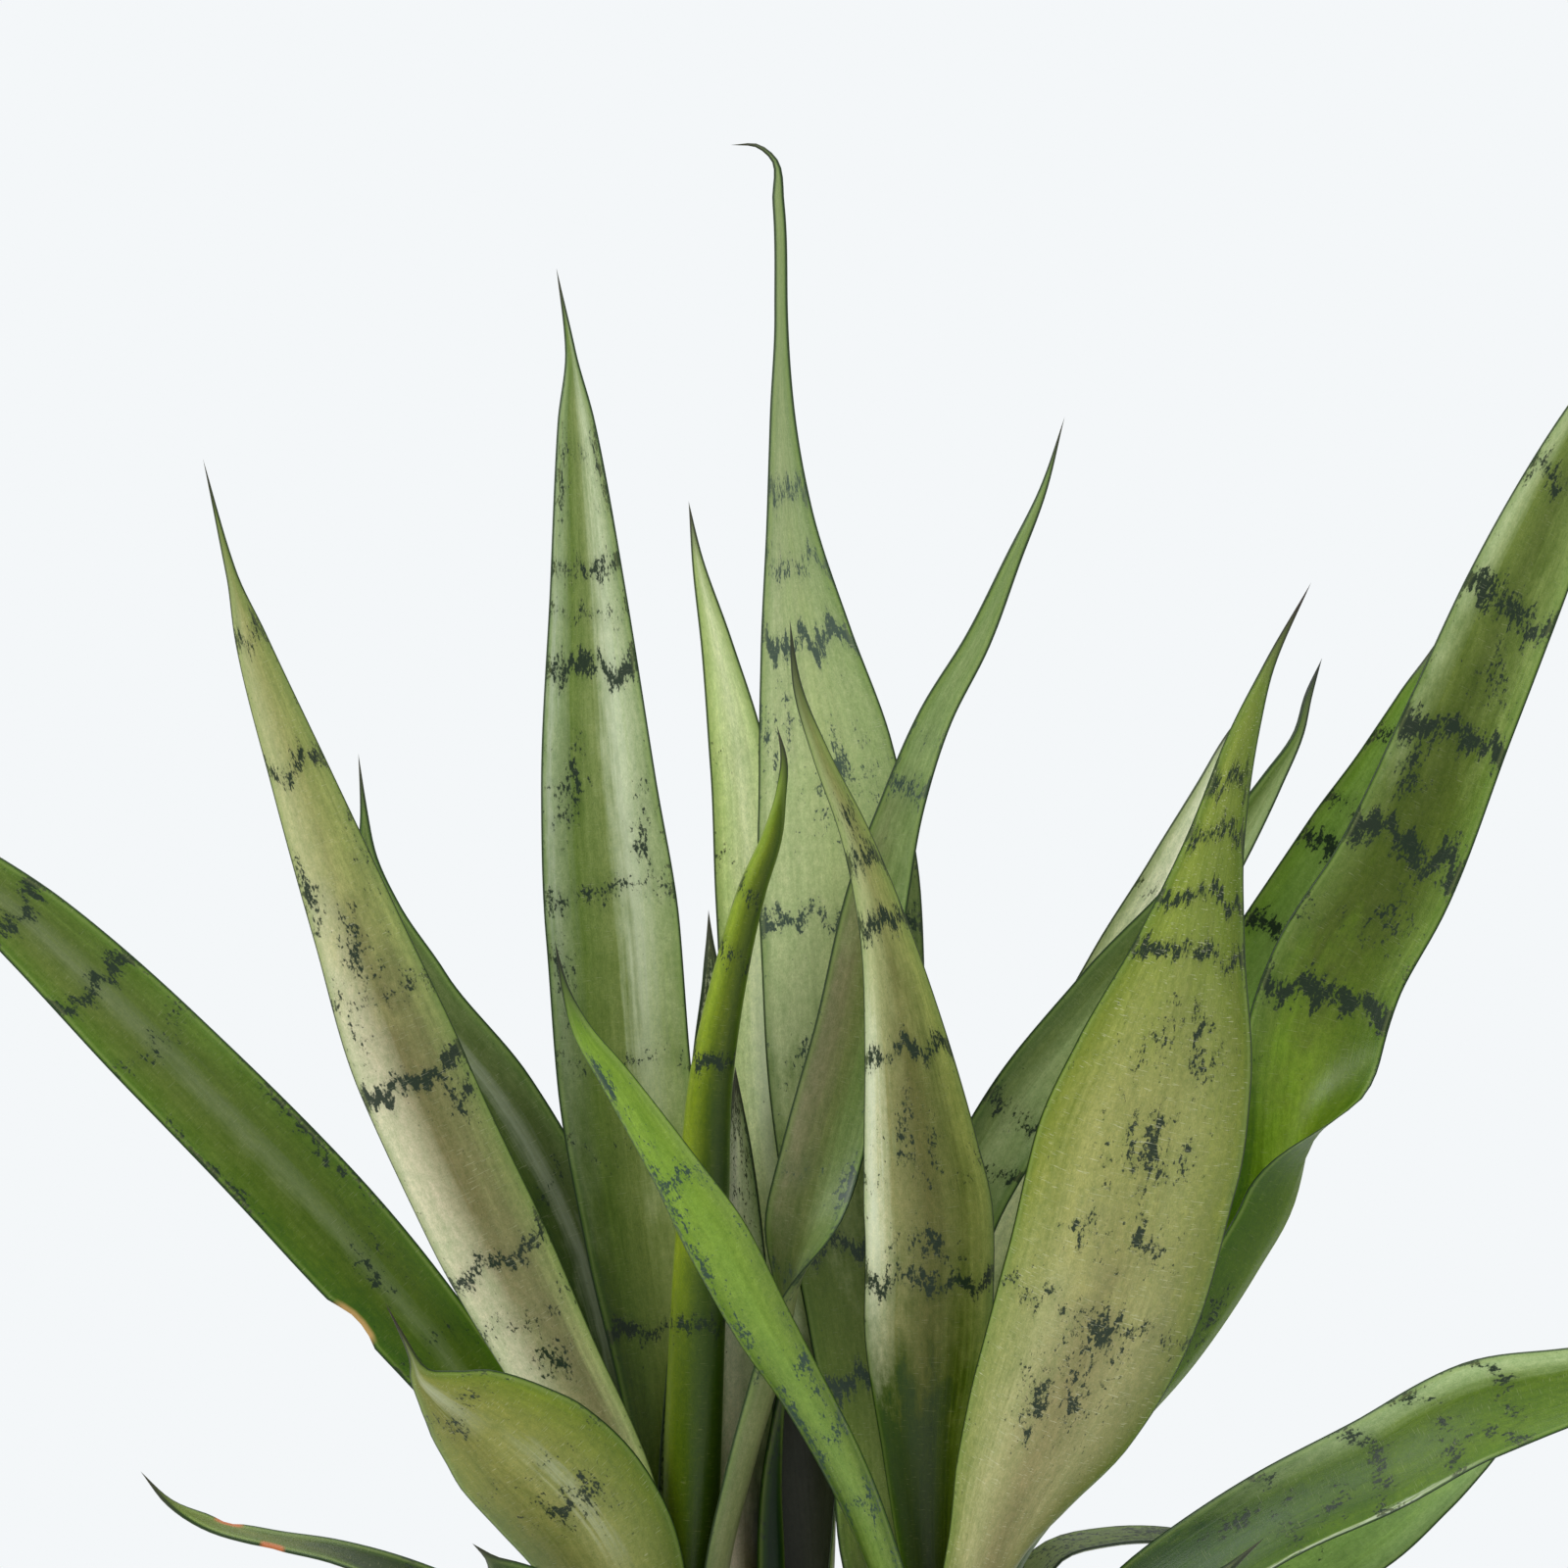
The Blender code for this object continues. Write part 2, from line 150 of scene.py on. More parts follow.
def place(name, bm, mat, smooth_below=180):
    """Puts a finished mesh in the scene under its name, with its material."""
    mesh = bpy.data.meshes.new(name)
    bm.to_mesh(mesh)
    bm.free()
    mesh.materials.append(mat)
    mesh.shade_smooth()
    if smooth_below < 180:
        mesh.set_sharp_from_angle(angle=math.radians(smooth_below))
    piece = bpy.data.objects.new(name, mesh)
    bpy.context.scene.collection.objects.link(piece)
    return piece


def light(name, size, power, spot):
    """A round soft light at a spot, aimed at the middle of the plant."""
    lamp = bpy.data.lights.new(name, "AREA")
    lamp.shape = "DISK"
    lamp.size = size
    lamp.energy = power
    holder = bpy.data.objects.new(name, lamp)
    holder.location = spot
    holder.rotation_euler = (Vector(LIGHT_AIM) - Vector(spot)).to_track_quat("-Z", "Y").to_euler()
    bpy.context.scene.collection.objects.link(holder)


# The room looks nearly white, but lights the plant only about half as strongly as it looks.
scene = bpy.context.scene
scene.view_settings.view_transform = "Standard"
room = bpy.data.worlds.new("room")
room.use_nodes = True
room.node_tree.nodes.clear()
air = Wire(room.node_tree)
seen = air.node("Background", None, {"Color": colour(244, 247, 249), "Strength": 1.0})
lit = air.node("Background", None, {"Color": (1.0, 1.0, 1.0, 1.0), "Strength": ROOM_GLOW})
camera_ray = air.node("LightPath")
both = air.node("MixShader", None, {0: camera_ray, 1: lit, 2: seen})
air.node("OutputWorld", None, {"Surface": both})
scene.world = room

light("key_light", 1.5, 46, (-1.7, -1.6, 1.9))
light("top_light", 1.4, 26, (0.2, 0.3, 2.2))
light("fill_light", 1.2, 7, (1.9, -1.3, 0.9))

lens = bpy.data.cameras.new("camera")
lens.sensor_width = SENSOR
lens.lens = SENSOR * VIEW_DISTANCE / VIEW_WIDTH
eye = bpy.data.objects.new("camera", lens)
eye.location = (
    0,
    -VIEW_DISTANCE * math.cos(VIEW_TILT),
    VIEW_HEIGHT + VIEW_DISTANCE * math.sin(VIEW_TILT),
)
eye.rotation_euler = (math.pi / 2 - VIEW_TILT, 0, 0)
scene.collection.objects.link(eye)
scene.camera = eye

floor_paint, shade = new_material("floor_paint")
spot = shade.node("TexCoord", None, None, "Object")
reach = shade.node("VectorMath", {"operation": "LENGTH"}, {0: spot}, "Value")
grain = shade.node("TexNoise", None, {"Vector": spot, "Scale": 60.0, "Detail": 4.0})
tone = shade.mix(grain * 0.3, colour(240, 242, 243), colour(232, 234, 236))
paint = shade.node("BsdfPrincipled", None, {"Base Color": tone, "Roughness": 0.85})
faded = ((reach - FADE_START) / FADE_WIDTH).clamp()
clear = shade.node("BsdfTransparent")
finish_material(shade, shade.node("MixShader", None, {0: faded, 1: paint, 2: clear}))
bm = bmesh.new()
bmesh.ops.create_circle(bm, cap_ends=True, cap_tris=True, segments=96, radius=FLOOR_RADIUS)
floor = place("floor", bm, floor_paint)
floor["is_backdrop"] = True


# ---- The pot --------------------------------------------------------------------------------
# A plain tapered planter of thrown stoneware under a matte off-white glaze: a soft round lip,
# a wall of even thickness, and a flat floor with a ring of drainage holes.

POT_HEIGHT = 165.0
POT_RIM_RADIUS = 102.0
POT_FOOT_RADIUS = 78.0
POT_WALL = 6.0
POT_FLOOR = 8.0
POT_SEGMENTS = 144
WALL_STEPS = 12
LIP_ROUNDING = 2.4
FOOT_ROUNDING = 2.0
CORNER_ROUNDING = 4.0
DRAIN_RADIUS = 5.0
DRAIN_CIRCLE = 42.0
DRAIN_COUNT = 4


def wall_radius(z, inset=0.0):
    """The pot's outer radius at a height, less an inset."""
    return POT_FOOT_RADIUS + (POT_RIM_RADIUS - POT_FOOT_RADIUS) * z / POT_HEIGHT - inset


def spun(profile, steps=POT_SEGMENTS):
    """A solid of revolution about Z from an outline of radius and height in millimetres."""
    bm = bmesh.new()
    verts = [bm.verts.new((r * MM, 0, z * MM)) for r, z in profile]
    edges = [bm.edges.new(pair) for pair in zip(verts, verts[1:])]
    bmesh.ops.spin(
        bm, geom=verts + edges, cent=(0, 0, 0), axis=(0, 0, 1), angle=2 * math.pi,
        steps=steps, use_merge=True,
    )
    bmesh.ops.remove_doubles(bm, verts=bm.verts, dist=1e-6)
    bmesh.ops.recalc_face_normals(bm, faces=bm.faces)
    return bm


def soften_ring(bm, radius, height, width):
    """Rounds the sharp ring of edges at a radius and height."""
    ring = [
        e for e in bm.edges
        if all(
            abs(math.hypot(v.co.x, v.co.y) - radius * MM) < 1e-5
            and abs(v.co.z - height * MM) < 1e-5
            for v in e.verts
        )
    ]
    bmesh.ops.bevel(
        bm, geom=ring, offset=width * MM, offset_type="OFFSET", affect="EDGES",
        segments=4, profile=0.5, material=-1,
    )


wall_steps = [POT_HEIGHT * i / WALL_STEPS for i in range(1, WALL_STEPS)]
profile = [(0, POT_FLOOR), (wall_radius(POT_FLOOR, POT_WALL), POT_FLOOR)]
profile += [(wall_radius(z, POT_WALL), z) for z in wall_steps[1:]]
profile += [(POT_RIM_RADIUS - POT_WALL, POT_HEIGHT), (POT_RIM_RADIUS, POT_HEIGHT)]
profile += [(wall_radius(z), z) for z in reversed(wall_steps)]
profile += [(POT_FOOT_RADIUS, 0), (0, 0)]
bm = spun(profile)
soften_ring(bm, POT_RIM_RADIUS, POT_HEIGHT, LIP_ROUNDING)
soften_ring(bm, POT_RIM_RADIUS - POT_WALL, POT_HEIGHT, LIP_ROUNDING)
soften_ring(bm, POT_FOOT_RADIUS, 0, FOOT_ROUNDING)
soften_ring(bm, wall_radius(POT_FLOOR, POT_WALL), POT_FLOOR, CORNER_ROUNDING)

glaze, shade = new_material("stoneware_glaze")
spot = shade.node("TexCoord", None, None, "Object")
cloud = shade.node("TexNoise", None, {
    "Vector": spot, "Scale": 14.0, "Detail": 4.0, "Roughness": 0.6,
})
fine = shade.node("TexNoise", None, {"Vector": spot, "Scale": 420.0, "Detail": 3.0})
fleck = shade.node("TexNoise", None, {"Vector": spot, "Scale": 950.0, "Detail": 1.0})
flecked = ((fleck - 0.66) * 14).clamp() * 0.75
squash = shade.node("Mapping", None, {"Vector": spot, "Scale": (6.0, 6.0, 520.0)})
turning = shade.node("TexNoise", None, {"Vector": squash, "Scale": 1.0, "Detail": 3.0})
tone = shade.mix(((cloud - 0.35) * 2.2).clamp(), colour(214, 209, 200), colour(226, 222, 214))
tone = shade.mix(turning * 0.22, tone, colour(202, 196, 186))
tone = shade.mix(flecked, tone, colour(120, 98, 78))
rough = 0.42 + cloud * 0.2 + fine * 0.08
height = turning * 0.6 + fine * 0.25 - flecked * 0.2
bump = shade.node("Bump", None, {"Strength": 0.35, "Distance": 0.0006, "Height": height})
finish_material(shade, shade.node("BsdfPrincipled", None, {
    "Base Color": tone, "Roughness": rough, "Normal": bump,
    "Coat Weight": 0.12, "Coat Roughness": 0.35,
}))
pot = place("pot_shell", bm, glaze, 50)

bm = bmesh.new()
for i in range(DRAIN_COUNT):
    turn = math.radians(45 + i * 360 / DRAIN_COUNT)
    centre = Vector((DRAIN_CIRCLE * math.cos(turn), DRAIN_CIRCLE * math.sin(turn), 0)) * MM
    bmesh.ops.create_cone(
        bm, cap_ends=True, segments=40, radius1=DRAIN_RADIUS * MM, radius2=DRAIN_RADIUS * MM,
        depth=3 * POT_FLOOR * MM, matrix=Matrix.Translation(centre),
    )
drill = place("drill", bm, glaze, 50)
holes = pot.modifiers.new("drainage", "BOOLEAN")
holes.object = drill
drilled = bpy.data.meshes.new_from_object(pot.evaluated_get(bpy.context.evaluated_depsgraph_get()))
pot.modifiers.clear()
pot.data = drilled
bpy.data.objects.remove(drill)
pot.data.set_sharp_from_angle(angle=math.radians(50))
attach(pot, "root")
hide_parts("pot")


# ---- The soil -------------------------------------------------------------------------------
# A loose potting mix of peat and bark crumbs with some white perlite. It fills the pot to 10 mm
# under the rim, a little lower along the wall and slightly heaped between the leaves.

SOIL_TOP = 155.0
SOIL_GAP = 0.35
SOIL_RINGS = 44
SOIL_SEGMENTS = 150
CRUMBS = 1100
CRUMB_RADII = (1.0, 3.2)
PERLITE = 95
PERLITE_RADII = (0.9, 2.2)

low = POT_FLOOR + SOIL_GAP
soil_radius = wall_radius(SOIL_TOP, POT_WALL + SOIL_GAP)
profile = [(soil_radius * i / SOIL_RINGS, SOIL_TOP) for i in range(SOIL_RINGS + 1)]
profile += [(wall_radius(low + 5, POT_WALL + SOIL_GAP), low + 5), (0, low)]
bm = spun(profile, SOIL_SEGMENTS)
for v in bm.verts:
    if v.co.z > (SOIL_TOP - 1) * MM:
        out = math.hypot(v.co.x, v.co.y) / (soil_radius * MM)
        rough_ground = noise.noise(v.co * 90) * 1.1 + noise.noise(v.co * 320) * 0.8
        v.co.z += (rough_ground + 0.8 - 2.6 * out**6) * MM

peat, shade = new_material("peat")
spot = shade.node("TexCoord", None, None, "Object")
lump = shade.node("TexNoise", None, {
    "Vector": spot, "Scale": 170.0, "Detail": 6.0, "Roughness": 0.7,
})
fibre = shade.node("TexNoise", None, {"Vector": spot, "Scale": 900.0, "Detail": 4.0})
tone = shade.node("ValToRGB", {"stops": [
    (0.3, colour(20, 14, 9)), (0.5, colour(44, 31, 21)), (0.7, colour(78, 56, 37)),
]}, {0: lump * 0.7 + fibre * 0.3})
bump = shade.node("Bump", None, {"Strength": 0.9, "Distance": 0.0015, "Height": lump + fibre * 0.4})
finish_material(shade, shade.node("BsdfPrincipled", None, {
    "Base Color": tone, "Roughness": 0.85 + fibre * 0.15, "Normal": bump,
}))
soil = place("soil_bed", bm, peat, 60)
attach(soil, "root")
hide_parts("soil")


def scatter(name, count, radii, flatness, mat, seed):
    """Crumbs strewn over the soil, each a rough lump of its own size and turn."""
    draw = random.Random(seed)
    bm = bmesh.new()
    for _ in range(count):
        far = (soil_radius - 4) * math.sqrt(draw.random())
        turn = draw.uniform(0, 2 * math.pi)
        size = draw.uniform(*radii)
        height = SOIL_TOP + draw.uniform(0, 1.2)
        spot = Vector((far * math.cos(turn), far * math.sin(turn), height))
        shape = Matrix.Translation(spot * MM)
        shape @= Matrix.Rotation(draw.uniform(0, 2 * math.pi), 4, "Z")
        shape @= Matrix.Rotation(draw.uniform(-0.7, 0.7), 4, "X")
        shape @= Matrix.Diagonal((1, draw.uniform(0.5, 1), flatness * draw.uniform(0.7, 1.3), 1))
        made = bmesh.ops.create_icosphere(bm, subdivisions=2, radius=size * MM, matrix=shape)
        for v in made["verts"]:
            off = v.co - spot * MM
            v.co = spot * MM + off * (1 + 0.45 * noise.noise(v.co * 520))
    piece = place(name, bm, mat, 40)
    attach(piece, "root")


bark, shade = new_material("bark")
spot = shade.node("TexCoord", None, None, "Object")
patch = shade.node("TexNoise", None, {"Vector": spot, "Scale": 130.0, "Detail": 2.0})
fibre = shade.node("TexNoise", None, {"Vector": spot, "Scale": 1300.0, "Detail": 5.0})
tone = shade.node("ValToRGB", {"stops": [
    (0.3, colour(30, 20, 13)), (0.48, colour(62, 42, 27)), (0.6, colour(98, 68, 43)),
    (0.75, colour(58, 48, 38)),
]}, {0: patch * 0.75 + fibre * 0.25})
bump = shade.node("Bump", None, {"Strength": 0.7, "Distance": 0.0006, "Height": fibre})
finish_material(shade, shade.node("BsdfPrincipled", None, {
    "Base Color": tone, "Roughness": 0.8 + fibre * 0.15, "Normal": bump,
}))
scatter("bark_crumbs", CRUMBS, CRUMB_RADII, 0.55, bark, 4)

glassy, shade = new_material("perlite")
spot = shade.node("TexCoord", None, None, "Object")
pore = shade.node("TexVoronoi", None, {"Vector": spot, "Scale": 1500.0})
tone = shade.mix(pore, colour(196, 190, 178), colour(232, 229, 221))
bump = shade.node("Bump", None, {"Strength": 0.6, "Distance": 0.0004, "Height": pore})
finish_material(shade, shade.node("BsdfPrincipled", None, {
    "Base Color": tone, "Roughness": 0.9 - pore * 0.1, "Normal": bump,
}))
scatter("perlite_grains", PERLITE, PERLITE_RADII, 0.9, glassy, 9)


# ---- The left crown's leaves ----------------------------------------------------------------
# Stiff succulent blades, each grown whole from the crown under the soil: a channelled foot that
# wraps the crown, a broad blade with hard thin margins, and a round awl of a tip. Dark green
# specks run together into ragged zigzag bands across them.

LEAF_DEPTH_IN_SOIL = 12.0
STUB_ABOVE_SOIL = 8.0
FOOT_WIDTH = 24.0
FOOT_WRAP = 2.8
BASE_THICKNESS = 3.4
TIP_THICKNESS = 2.2
ROUNDEST = 0.85
SECTION_SIDES = 30
SECTION_STEPS = 24
RING_SPACING = 4.5
TIP_CROWDING = 0.35
MOST_BASE_CURL = 80
NECK_CURL = 10.0
LONG_RIPPLE = 31
SHORT_RIPPLE = 13
DEEPEST_NICK = 0.8
EYE_DISTANCE = VIEW_DISTANCE * 1000
EYE_HEIGHT = 634.0
LEFT_CROWN = (-40.0, 0.0)
DARK_BAND = colour(18, 38, 20)
BAND_REACH = 7.5


def smooth_step(low, high, t):
    """0 below low, 1 above high, and an even S between them."""
    t = np.clip((np.asarray(t, float) - low) / (high - low), 0, 1)
    return t * t * (3 - 2 * t)


def unit(v):
    return v / np.linalg.norm(v, axis=-1, keepdims=True)


def through(knots, values, at, bounded=False):
    """A smooth curve through values at knots. Bounded, it never swings past a value."""
    span = np.diff(knots)
    rise = np.diff(values, axis=0) / span.reshape(-1, *[1] * (values.ndim - 1))
    slope = np.empty_like(values)
    slope[0], slope[-1] = rise[0], rise[-1]
    for i in range(1, len(knots) - 1):
        before, after = rise[i - 1], rise[i]
        slope[i] = (before * span[i] + after * span[i - 1]) / (span[i] + span[i - 1])
        if bounded:
            slope[i] = 0 if before * after <= 0 else 2 * before * after / (before + after)
    i = np.clip(np.searchsorted(knots, at, side="right") - 1, 0, len(span) - 1)
    width = span[i].reshape(-1, *[1] * (values.ndim - 1))
    t = ((at - knots[i]) / span[i]).reshape(-1, *[1] * (values.ndim - 1))
    return (
        (2 * t**3 - 3 * t**2 + 1) * values[i]
        + (t**3 - 2 * t**2 + t) * width * slope[i]
        + (3 * t**2 - 2 * t**3) * values[i + 1]
        + (t**3 - t**2) * width * slope[i + 1]
    )


def leaf_line(crown, azimuth, ring, depth, outline):
    """The leaf's middle line as 3-D points, with the share of its length and the width at each."""
    turn = math.radians(azimuth)
    foot = np.array([crown[0] + ring * math.cos(turn), crown[1] + ring * math.sin(turn)])
    base_width = min(FOOT_WIDTH, FOOT_WRAP * ring, outline[0][2])
    flat = [(foot[0], -LEAF_DEPTH_IN_SOIL, base_width), (foot[0], STUB_ABOVE_SOIL, base_width)]
    flat = np.array(flat + list(outline), float)
    share = np.concatenate([[0], np.cumsum(np.hypot(*np.diff(flat[:, :2], axis=0).T))])
    share /= share[-1]
    middle, tip = depth
    y = foot[1] * (1 - share) * (1 - 2 * share) + 4 * middle * share * (1 - share)
    y += tip * share * (2 * share - 1)
    y[:2] = foot[1]
    scale = np.where(np.arange(len(y)) < 2, 1, 1 + y / EYE_DISTANCE)
    z = EYE_HEIGHT + (SOIL_TOP + flat[:, 1] - EYE_HEIGHT) * scale
    return np.stack([flat[:, 0] * scale, y, z], axis=1), share, flat[:, 2]


def section(half, s, lift, curl, crease):
    """A blade's section, across and up: an even curl, or one creased along its middle."""

    def heading(way, curl, crease):
        return curl * ((1 - crease) * way + crease * np.tanh(3 * way) / math.tanh(3))

    way = s[..., None] * (np.arange(SECTION_STEPS) + 0.5) / SECTION_STEPS
    path = heading(way, curl[..., None], crease[..., None])
    turn = heading(s, curl, crease)
    out = half * s * np.cos(path).mean(-1) - lift * np.sin(turn)
    up = half * s * np.sin(path).mean(-1) + lift * np.cos(turn)
    return out, up


def leaf_mesh(
    crown, azimuth, ring, depth, face, turning, open_curl, outline, fold, nicks, seed,
):
    """The blade's closed mesh, and at each vertex what its material needs to know.

    That is: place across the blade from its left to its right margin as seen from the front,
    -1 to 1; place along it in centimetres; share of its length; distance to the nearer margin
    in millimetres; and the side, 1 on the face turned to the front and -1 on the other.
    """
    middle, knots, width = leaf_line(crown, azimuth, ring, depth, outline)
    length = np.linalg.norm(np.diff(middle, axis=0), axis=1).sum()
    rings = int(length / RING_SPACING)
    at = np.linspace(0, 1, rings + 1)
    at = at + TIP_CROWDING * at * (1 - at)
    spine = through(knots, middle, at)
    along = unit(
        through(knots, middle, np.clip(at + 1e-3, 0, 1))
        - through(knots, middle, np.clip(at - 1e-3, 0, 1))
    )
    breadth = np.maximum(through(knots, width, at, bounded=True), 0)[:, None]

    opened = smooth_step(*turning, at)[:, None]
    turn = math.radians(azimuth)
    inward = np.array([-math.cos(turn), -math.sin(turn), 0.0])
    looks = unit(inward * (1 - opened) + unit(np.array(face, float)) * opened)
    inner = unit(looks - (looks * along).sum(1, keepdims=True) * along)
    across = np.cross(along, inner)

    base_curl = min(math.degrees(width[0] / (2 * ring)), MOST_BASE_CURL)
    neck = smooth_step(knots[-3], knots[-2], at)[:, None]
    curl = base_curl + (open_curl - base_curl) * opened
    curl = np.radians(curl + (NECK_CURL - curl) * neck)
    start, end, fold_curl = fold
    crease = smooth_step(start, end, at)[:, None] * (1 - opened) * (fold_curl > 0)
    curl += (math.radians(fold_curl) - curl) * crease
    thickness = BASE_THICKNESS + (TIP_THICKNESS - BASE_THICKNESS) * at[:, None]
    thickness = np.minimum(thickness, ROUNDEST * breadth)

    front = -1 if face[1] > 0 else 1
    around = np.arange(SECTION_SIDES) * 2 * math.pi / SECTION_SIDES
    s = np.repeat(-np.cos(around)[None, :], len(at), axis=0)
    seen = s * front
    bitten = np.zeros_like(s)
    for share, side, bite, reach in nicks:
        dip = np.exp(-(((at - share) * length / reach) ** 4))[:, None]
        bitten += np.where(seen * side > 0, dip * bite, 0)
    half = np.maximum(breadth / 2, 1e-6)
    s = s * (1 - np.minimum(bitten / half, DEEPEST_NICK))
    ripple = np.sin(at[:, None] * length / LONG_RIPPLE + seed + 1.3 * seen) * 0.6
    ripple += np.sin(at[:, None] * length / SHORT_RIPPLE + 2 * seed - seen) * 0.25
    ripple *= s**2 * smooth_step(0.12, 0.3, at)[:, None] * np.minimum(breadth / 40, 1)

    lift = np.sin(around)[None, :] * thickness / 2
    out, up = section(breadth / 2, s, lift, curl, crease)
    up += ripple
    skin = spine[:, None] + out[..., None] * across[:, None] + up[..., None] * inner[:, None]

    bm = bmesh.new()
    bmesh.ops.create_grid(bm, x_segments=rings, y_segments=SECTION_SIDES, size=1)
    names = ("across", "along", "share", "edge", "side", "narrow")
    layers = [bm.verts.layers.float.new(name) for name in names]
    facts = (
        seen,
        at[:, None] * length / 10 + 0 * s,
        at[:, None] + 0 * s,
        (1 - np.abs(np.cos(around)))[None, :] * half,
        np.sin(around)[None, :] * front + 0 * s,
        s * front * max(width) / 20,
    )
    for v in bm.verts:
        i = round((v.co.x + 1) / 2 * rings)
        j = round((v.co.y + 1) / 2 * SECTION_SIDES) % SECTION_SIDES
        v.co = skin[i, j] * MM
        for layer, fact in zip(layers, facts):
            v[layer] = float(fact[i, j])
    bmesh.ops.remove_doubles(bm, verts=bm.verts, dist=1e-6)
    bmesh.ops.holes_fill(bm, edges=[e for e in bm.edges if e.is_boundary], sides=0)
    bmesh.ops.recalc_face_normals(bm, faces=bm.faces)
    return bm


def leaf_skin(name, length, seed, look):
    """The blade's skin: its long colour zones with painted light and shade, streaks, painted
    highlights, specks, bands, margin, scars and painted shade on the foot.
    """
    mat, shade = new_material(name)

    def fact(what):
        return shade.node("Attribute", {"attribute_name": what}, None, "Fac")

    across, along, share = fact("across"), fact("along"), fact("share")
    edge, side, narrow = fact("edge"), fact("side"), fact("narrow")

    def pattern(scale_across, scale_along, detail=2.0, shift=0.0, roughness=0.5):
        """Noise at so many lumps a centimetre across the blade and along it."""
        where = shade.node("CombineXYZ", None, {
            0: narrow * scale_across, 1: along * scale_along, 2: side * 0.4 + (seed * 7.3 + shift),
        })
        return shade.node("TexNoise", None, {
            "Vector": where, "Scale": 1.0, "Detail": detail, "Roughness": roughness,
        })

    def near(spot, middle, reach):
        """1 where spot is at middle, fading to 0 at reach from it."""
        return (1 - shade.maths("ABSOLUTE", spot - middle) / reach).clamp()

    streak = pattern(5.5, 0.12, 4.0, 0.0, 0.6)
    mottle = pattern(1.5, 0.6, 4.0, 6.0, 0.6)
    cloud = pattern(6.0, 3.4, 4.0, 8.0, 0.65)
    grain = pattern(26.0, 13.0, 3.0, 10.0, 0.6)

    # The long zones of colour, from the left margin to the right one, low down and high up. They
    # hold the blade's own colours with the light and shade seen on it painted in.
    lane = across * 0.5 + 0.5 + (streak - 0.5) * 0.16 + (mottle - 0.5) * 0.08
    rows = []
    for tones in (look["low"], look["mid"] or look["low"], look["high"]):
        step = 0.88 / (len(tones) - 1)
        stops = [(0.06 + step * i, colour(*tone)) for i, tone in enumerate(tones)]
        rows.append(shade.node("ValToRGB", {"stops": stops}, {0: lane}))
    rise = share + (mottle - 0.5) * 0.2
    start, end = look["zones"]
    tone = shade.mix(((rise - start) / 0.14).clamp(), rows[0], rows[1])
    tone = shade.mix(((rise - end) / (0.16 if look["mid"] else 0.36)).clamp(), tone, rows[2])
    behind = shade.mix(0.55, tone, colour(*look["back"]))
    tone = shade.mix((side * 4 + 0.5).clamp(), behind, tone)

    # Streaks, soft clouds and a fine grain, lighter and darker.
    for noisy, darkest, lightest in (
        (streak, (0.72, 0.74, 0.68, 1), (1.28, 1.26, 1.3, 1)),
        (mottle, (0.72, 0.8, 0.7, 1), (1.3, 1.22, 1.3, 1)),
        (cloud, (0.56, 0.68, 0.56, 1), (1.46, 1.34, 1.44, 1)),
        (grain, (0.6, 0.66, 0.6, 1), (1.42, 1.36, 1.42, 1)),
    ):
        tone = shade.mix(1.0, tone, shade.mix(noisy, darkest, lightest), "MULTIPLY")
    tone = shade.mix(1.0, tone, (0.008, 0.0, 0.014, 1), "SUBTRACT")
    fringe = (1 - (edge - 0.6) / 3.4).clamp() * (0.25 + streak * 0.6)
    tone = shade.mix(fringe, tone, colour(68, 106, 24))
    # Painted highlights: pale streaks along the blade, for the light glinting off its curved face.
    for middle, wide, power, start, end in look["sheens"]:
        line = near(across + (streak - 0.5) * 0.5 + (mottle - 0.5) * 0.3, middle, wide)
        run = ((share - start) / 0.12).clamp() * ((end - share) / 0.12).clamp()
        tone = shade.mix(line * run * power, tone, colour(206, 214, 192))

    # The dark bands: a ramp along the blade, pushed into zigzags, with blots besides.
    zigzag = (pattern(0.8, 0.12, 1.0, 9.0) - 0.5) * 2.2 + (pattern(3.2, 0.5, 2.0, 11.0) - 0.5) * 1.5
    level = share + zigzag * (10 / length)
    stops = [(0.0, (0, 0, 0, 1))]
    for band in sorted(look["bands"]):
        centre, strength = band[:2]
        reach = (band[2] if len(band) > 2 else BAND_REACH) / length
        for spot, power in ((centre - reach, 0), (centre, strength), (centre + reach, 0)):
            stops.append((max(spot, stops[-1][0] + 0.002), (power, power, power, 1)))
    ramp = shade.node("ValToRGB", {"stops": stops}, {0: level})
    patchy = ((pattern(1.3, 0.4, 2.0, 14.0) - 0.38) * 5).clamp()
    clump = pattern(2.6, 2.0, 2.0, 15.0)
    band = ramp * (0.62 + 0.38 * patchy)
    for centre, middle, tall, wide in look["blots"]:
        drift = (clump - 0.5) * 1.6
        blot = near(level + drift * (14 / length), centre, tall / length)
        blot = blot * near(across + drift * 0.5, middle, wide) * (0.3 + patchy * 0.9)
        band = shade.maths("MAXIMUM", band, blot.clamp() * 0.7)
    ink = pattern(10.0, 6.0, 3.0, 17.0, 0.6) * 0.64 + pattern(3.6, 1.8, 2.0, 19.0) * 0.36
    by_margin = (1 - (edge - 0.8) / 3.2).clamp() * 0.06
    dots = ((ink + by_margin + band * 0.36 - (0.715 - 0.055 * look["specks"])) * 13).clamp()
    fade = ((edge - 0.3) / 0.8).clamp()
    tone = shade.mix(band * 0.3, tone, look["band_colour"])
    tone = shade.mix(dots * 0.97 * (0.6 + 0.4 * fade), tone, look["band_colour"])

    # Fine pale scratches and dust.
    scratch = ((pattern(2.4, 26.0, 1.0, 23.0) - 0.66) * 14).clamp() * (mottle * 1.6 - 0.3).clamp()
    tone = shade.mix(scratch * (0.75 * look["worn"]), tone, colour(206, 208, 172))
    dust = ((pattern(34.0, 30.0, 1.0, 25.0) - 0.76) * 12).clamp()
    tone = shade.mix(dust * look["worn"], tone, colour(214, 216, 206))
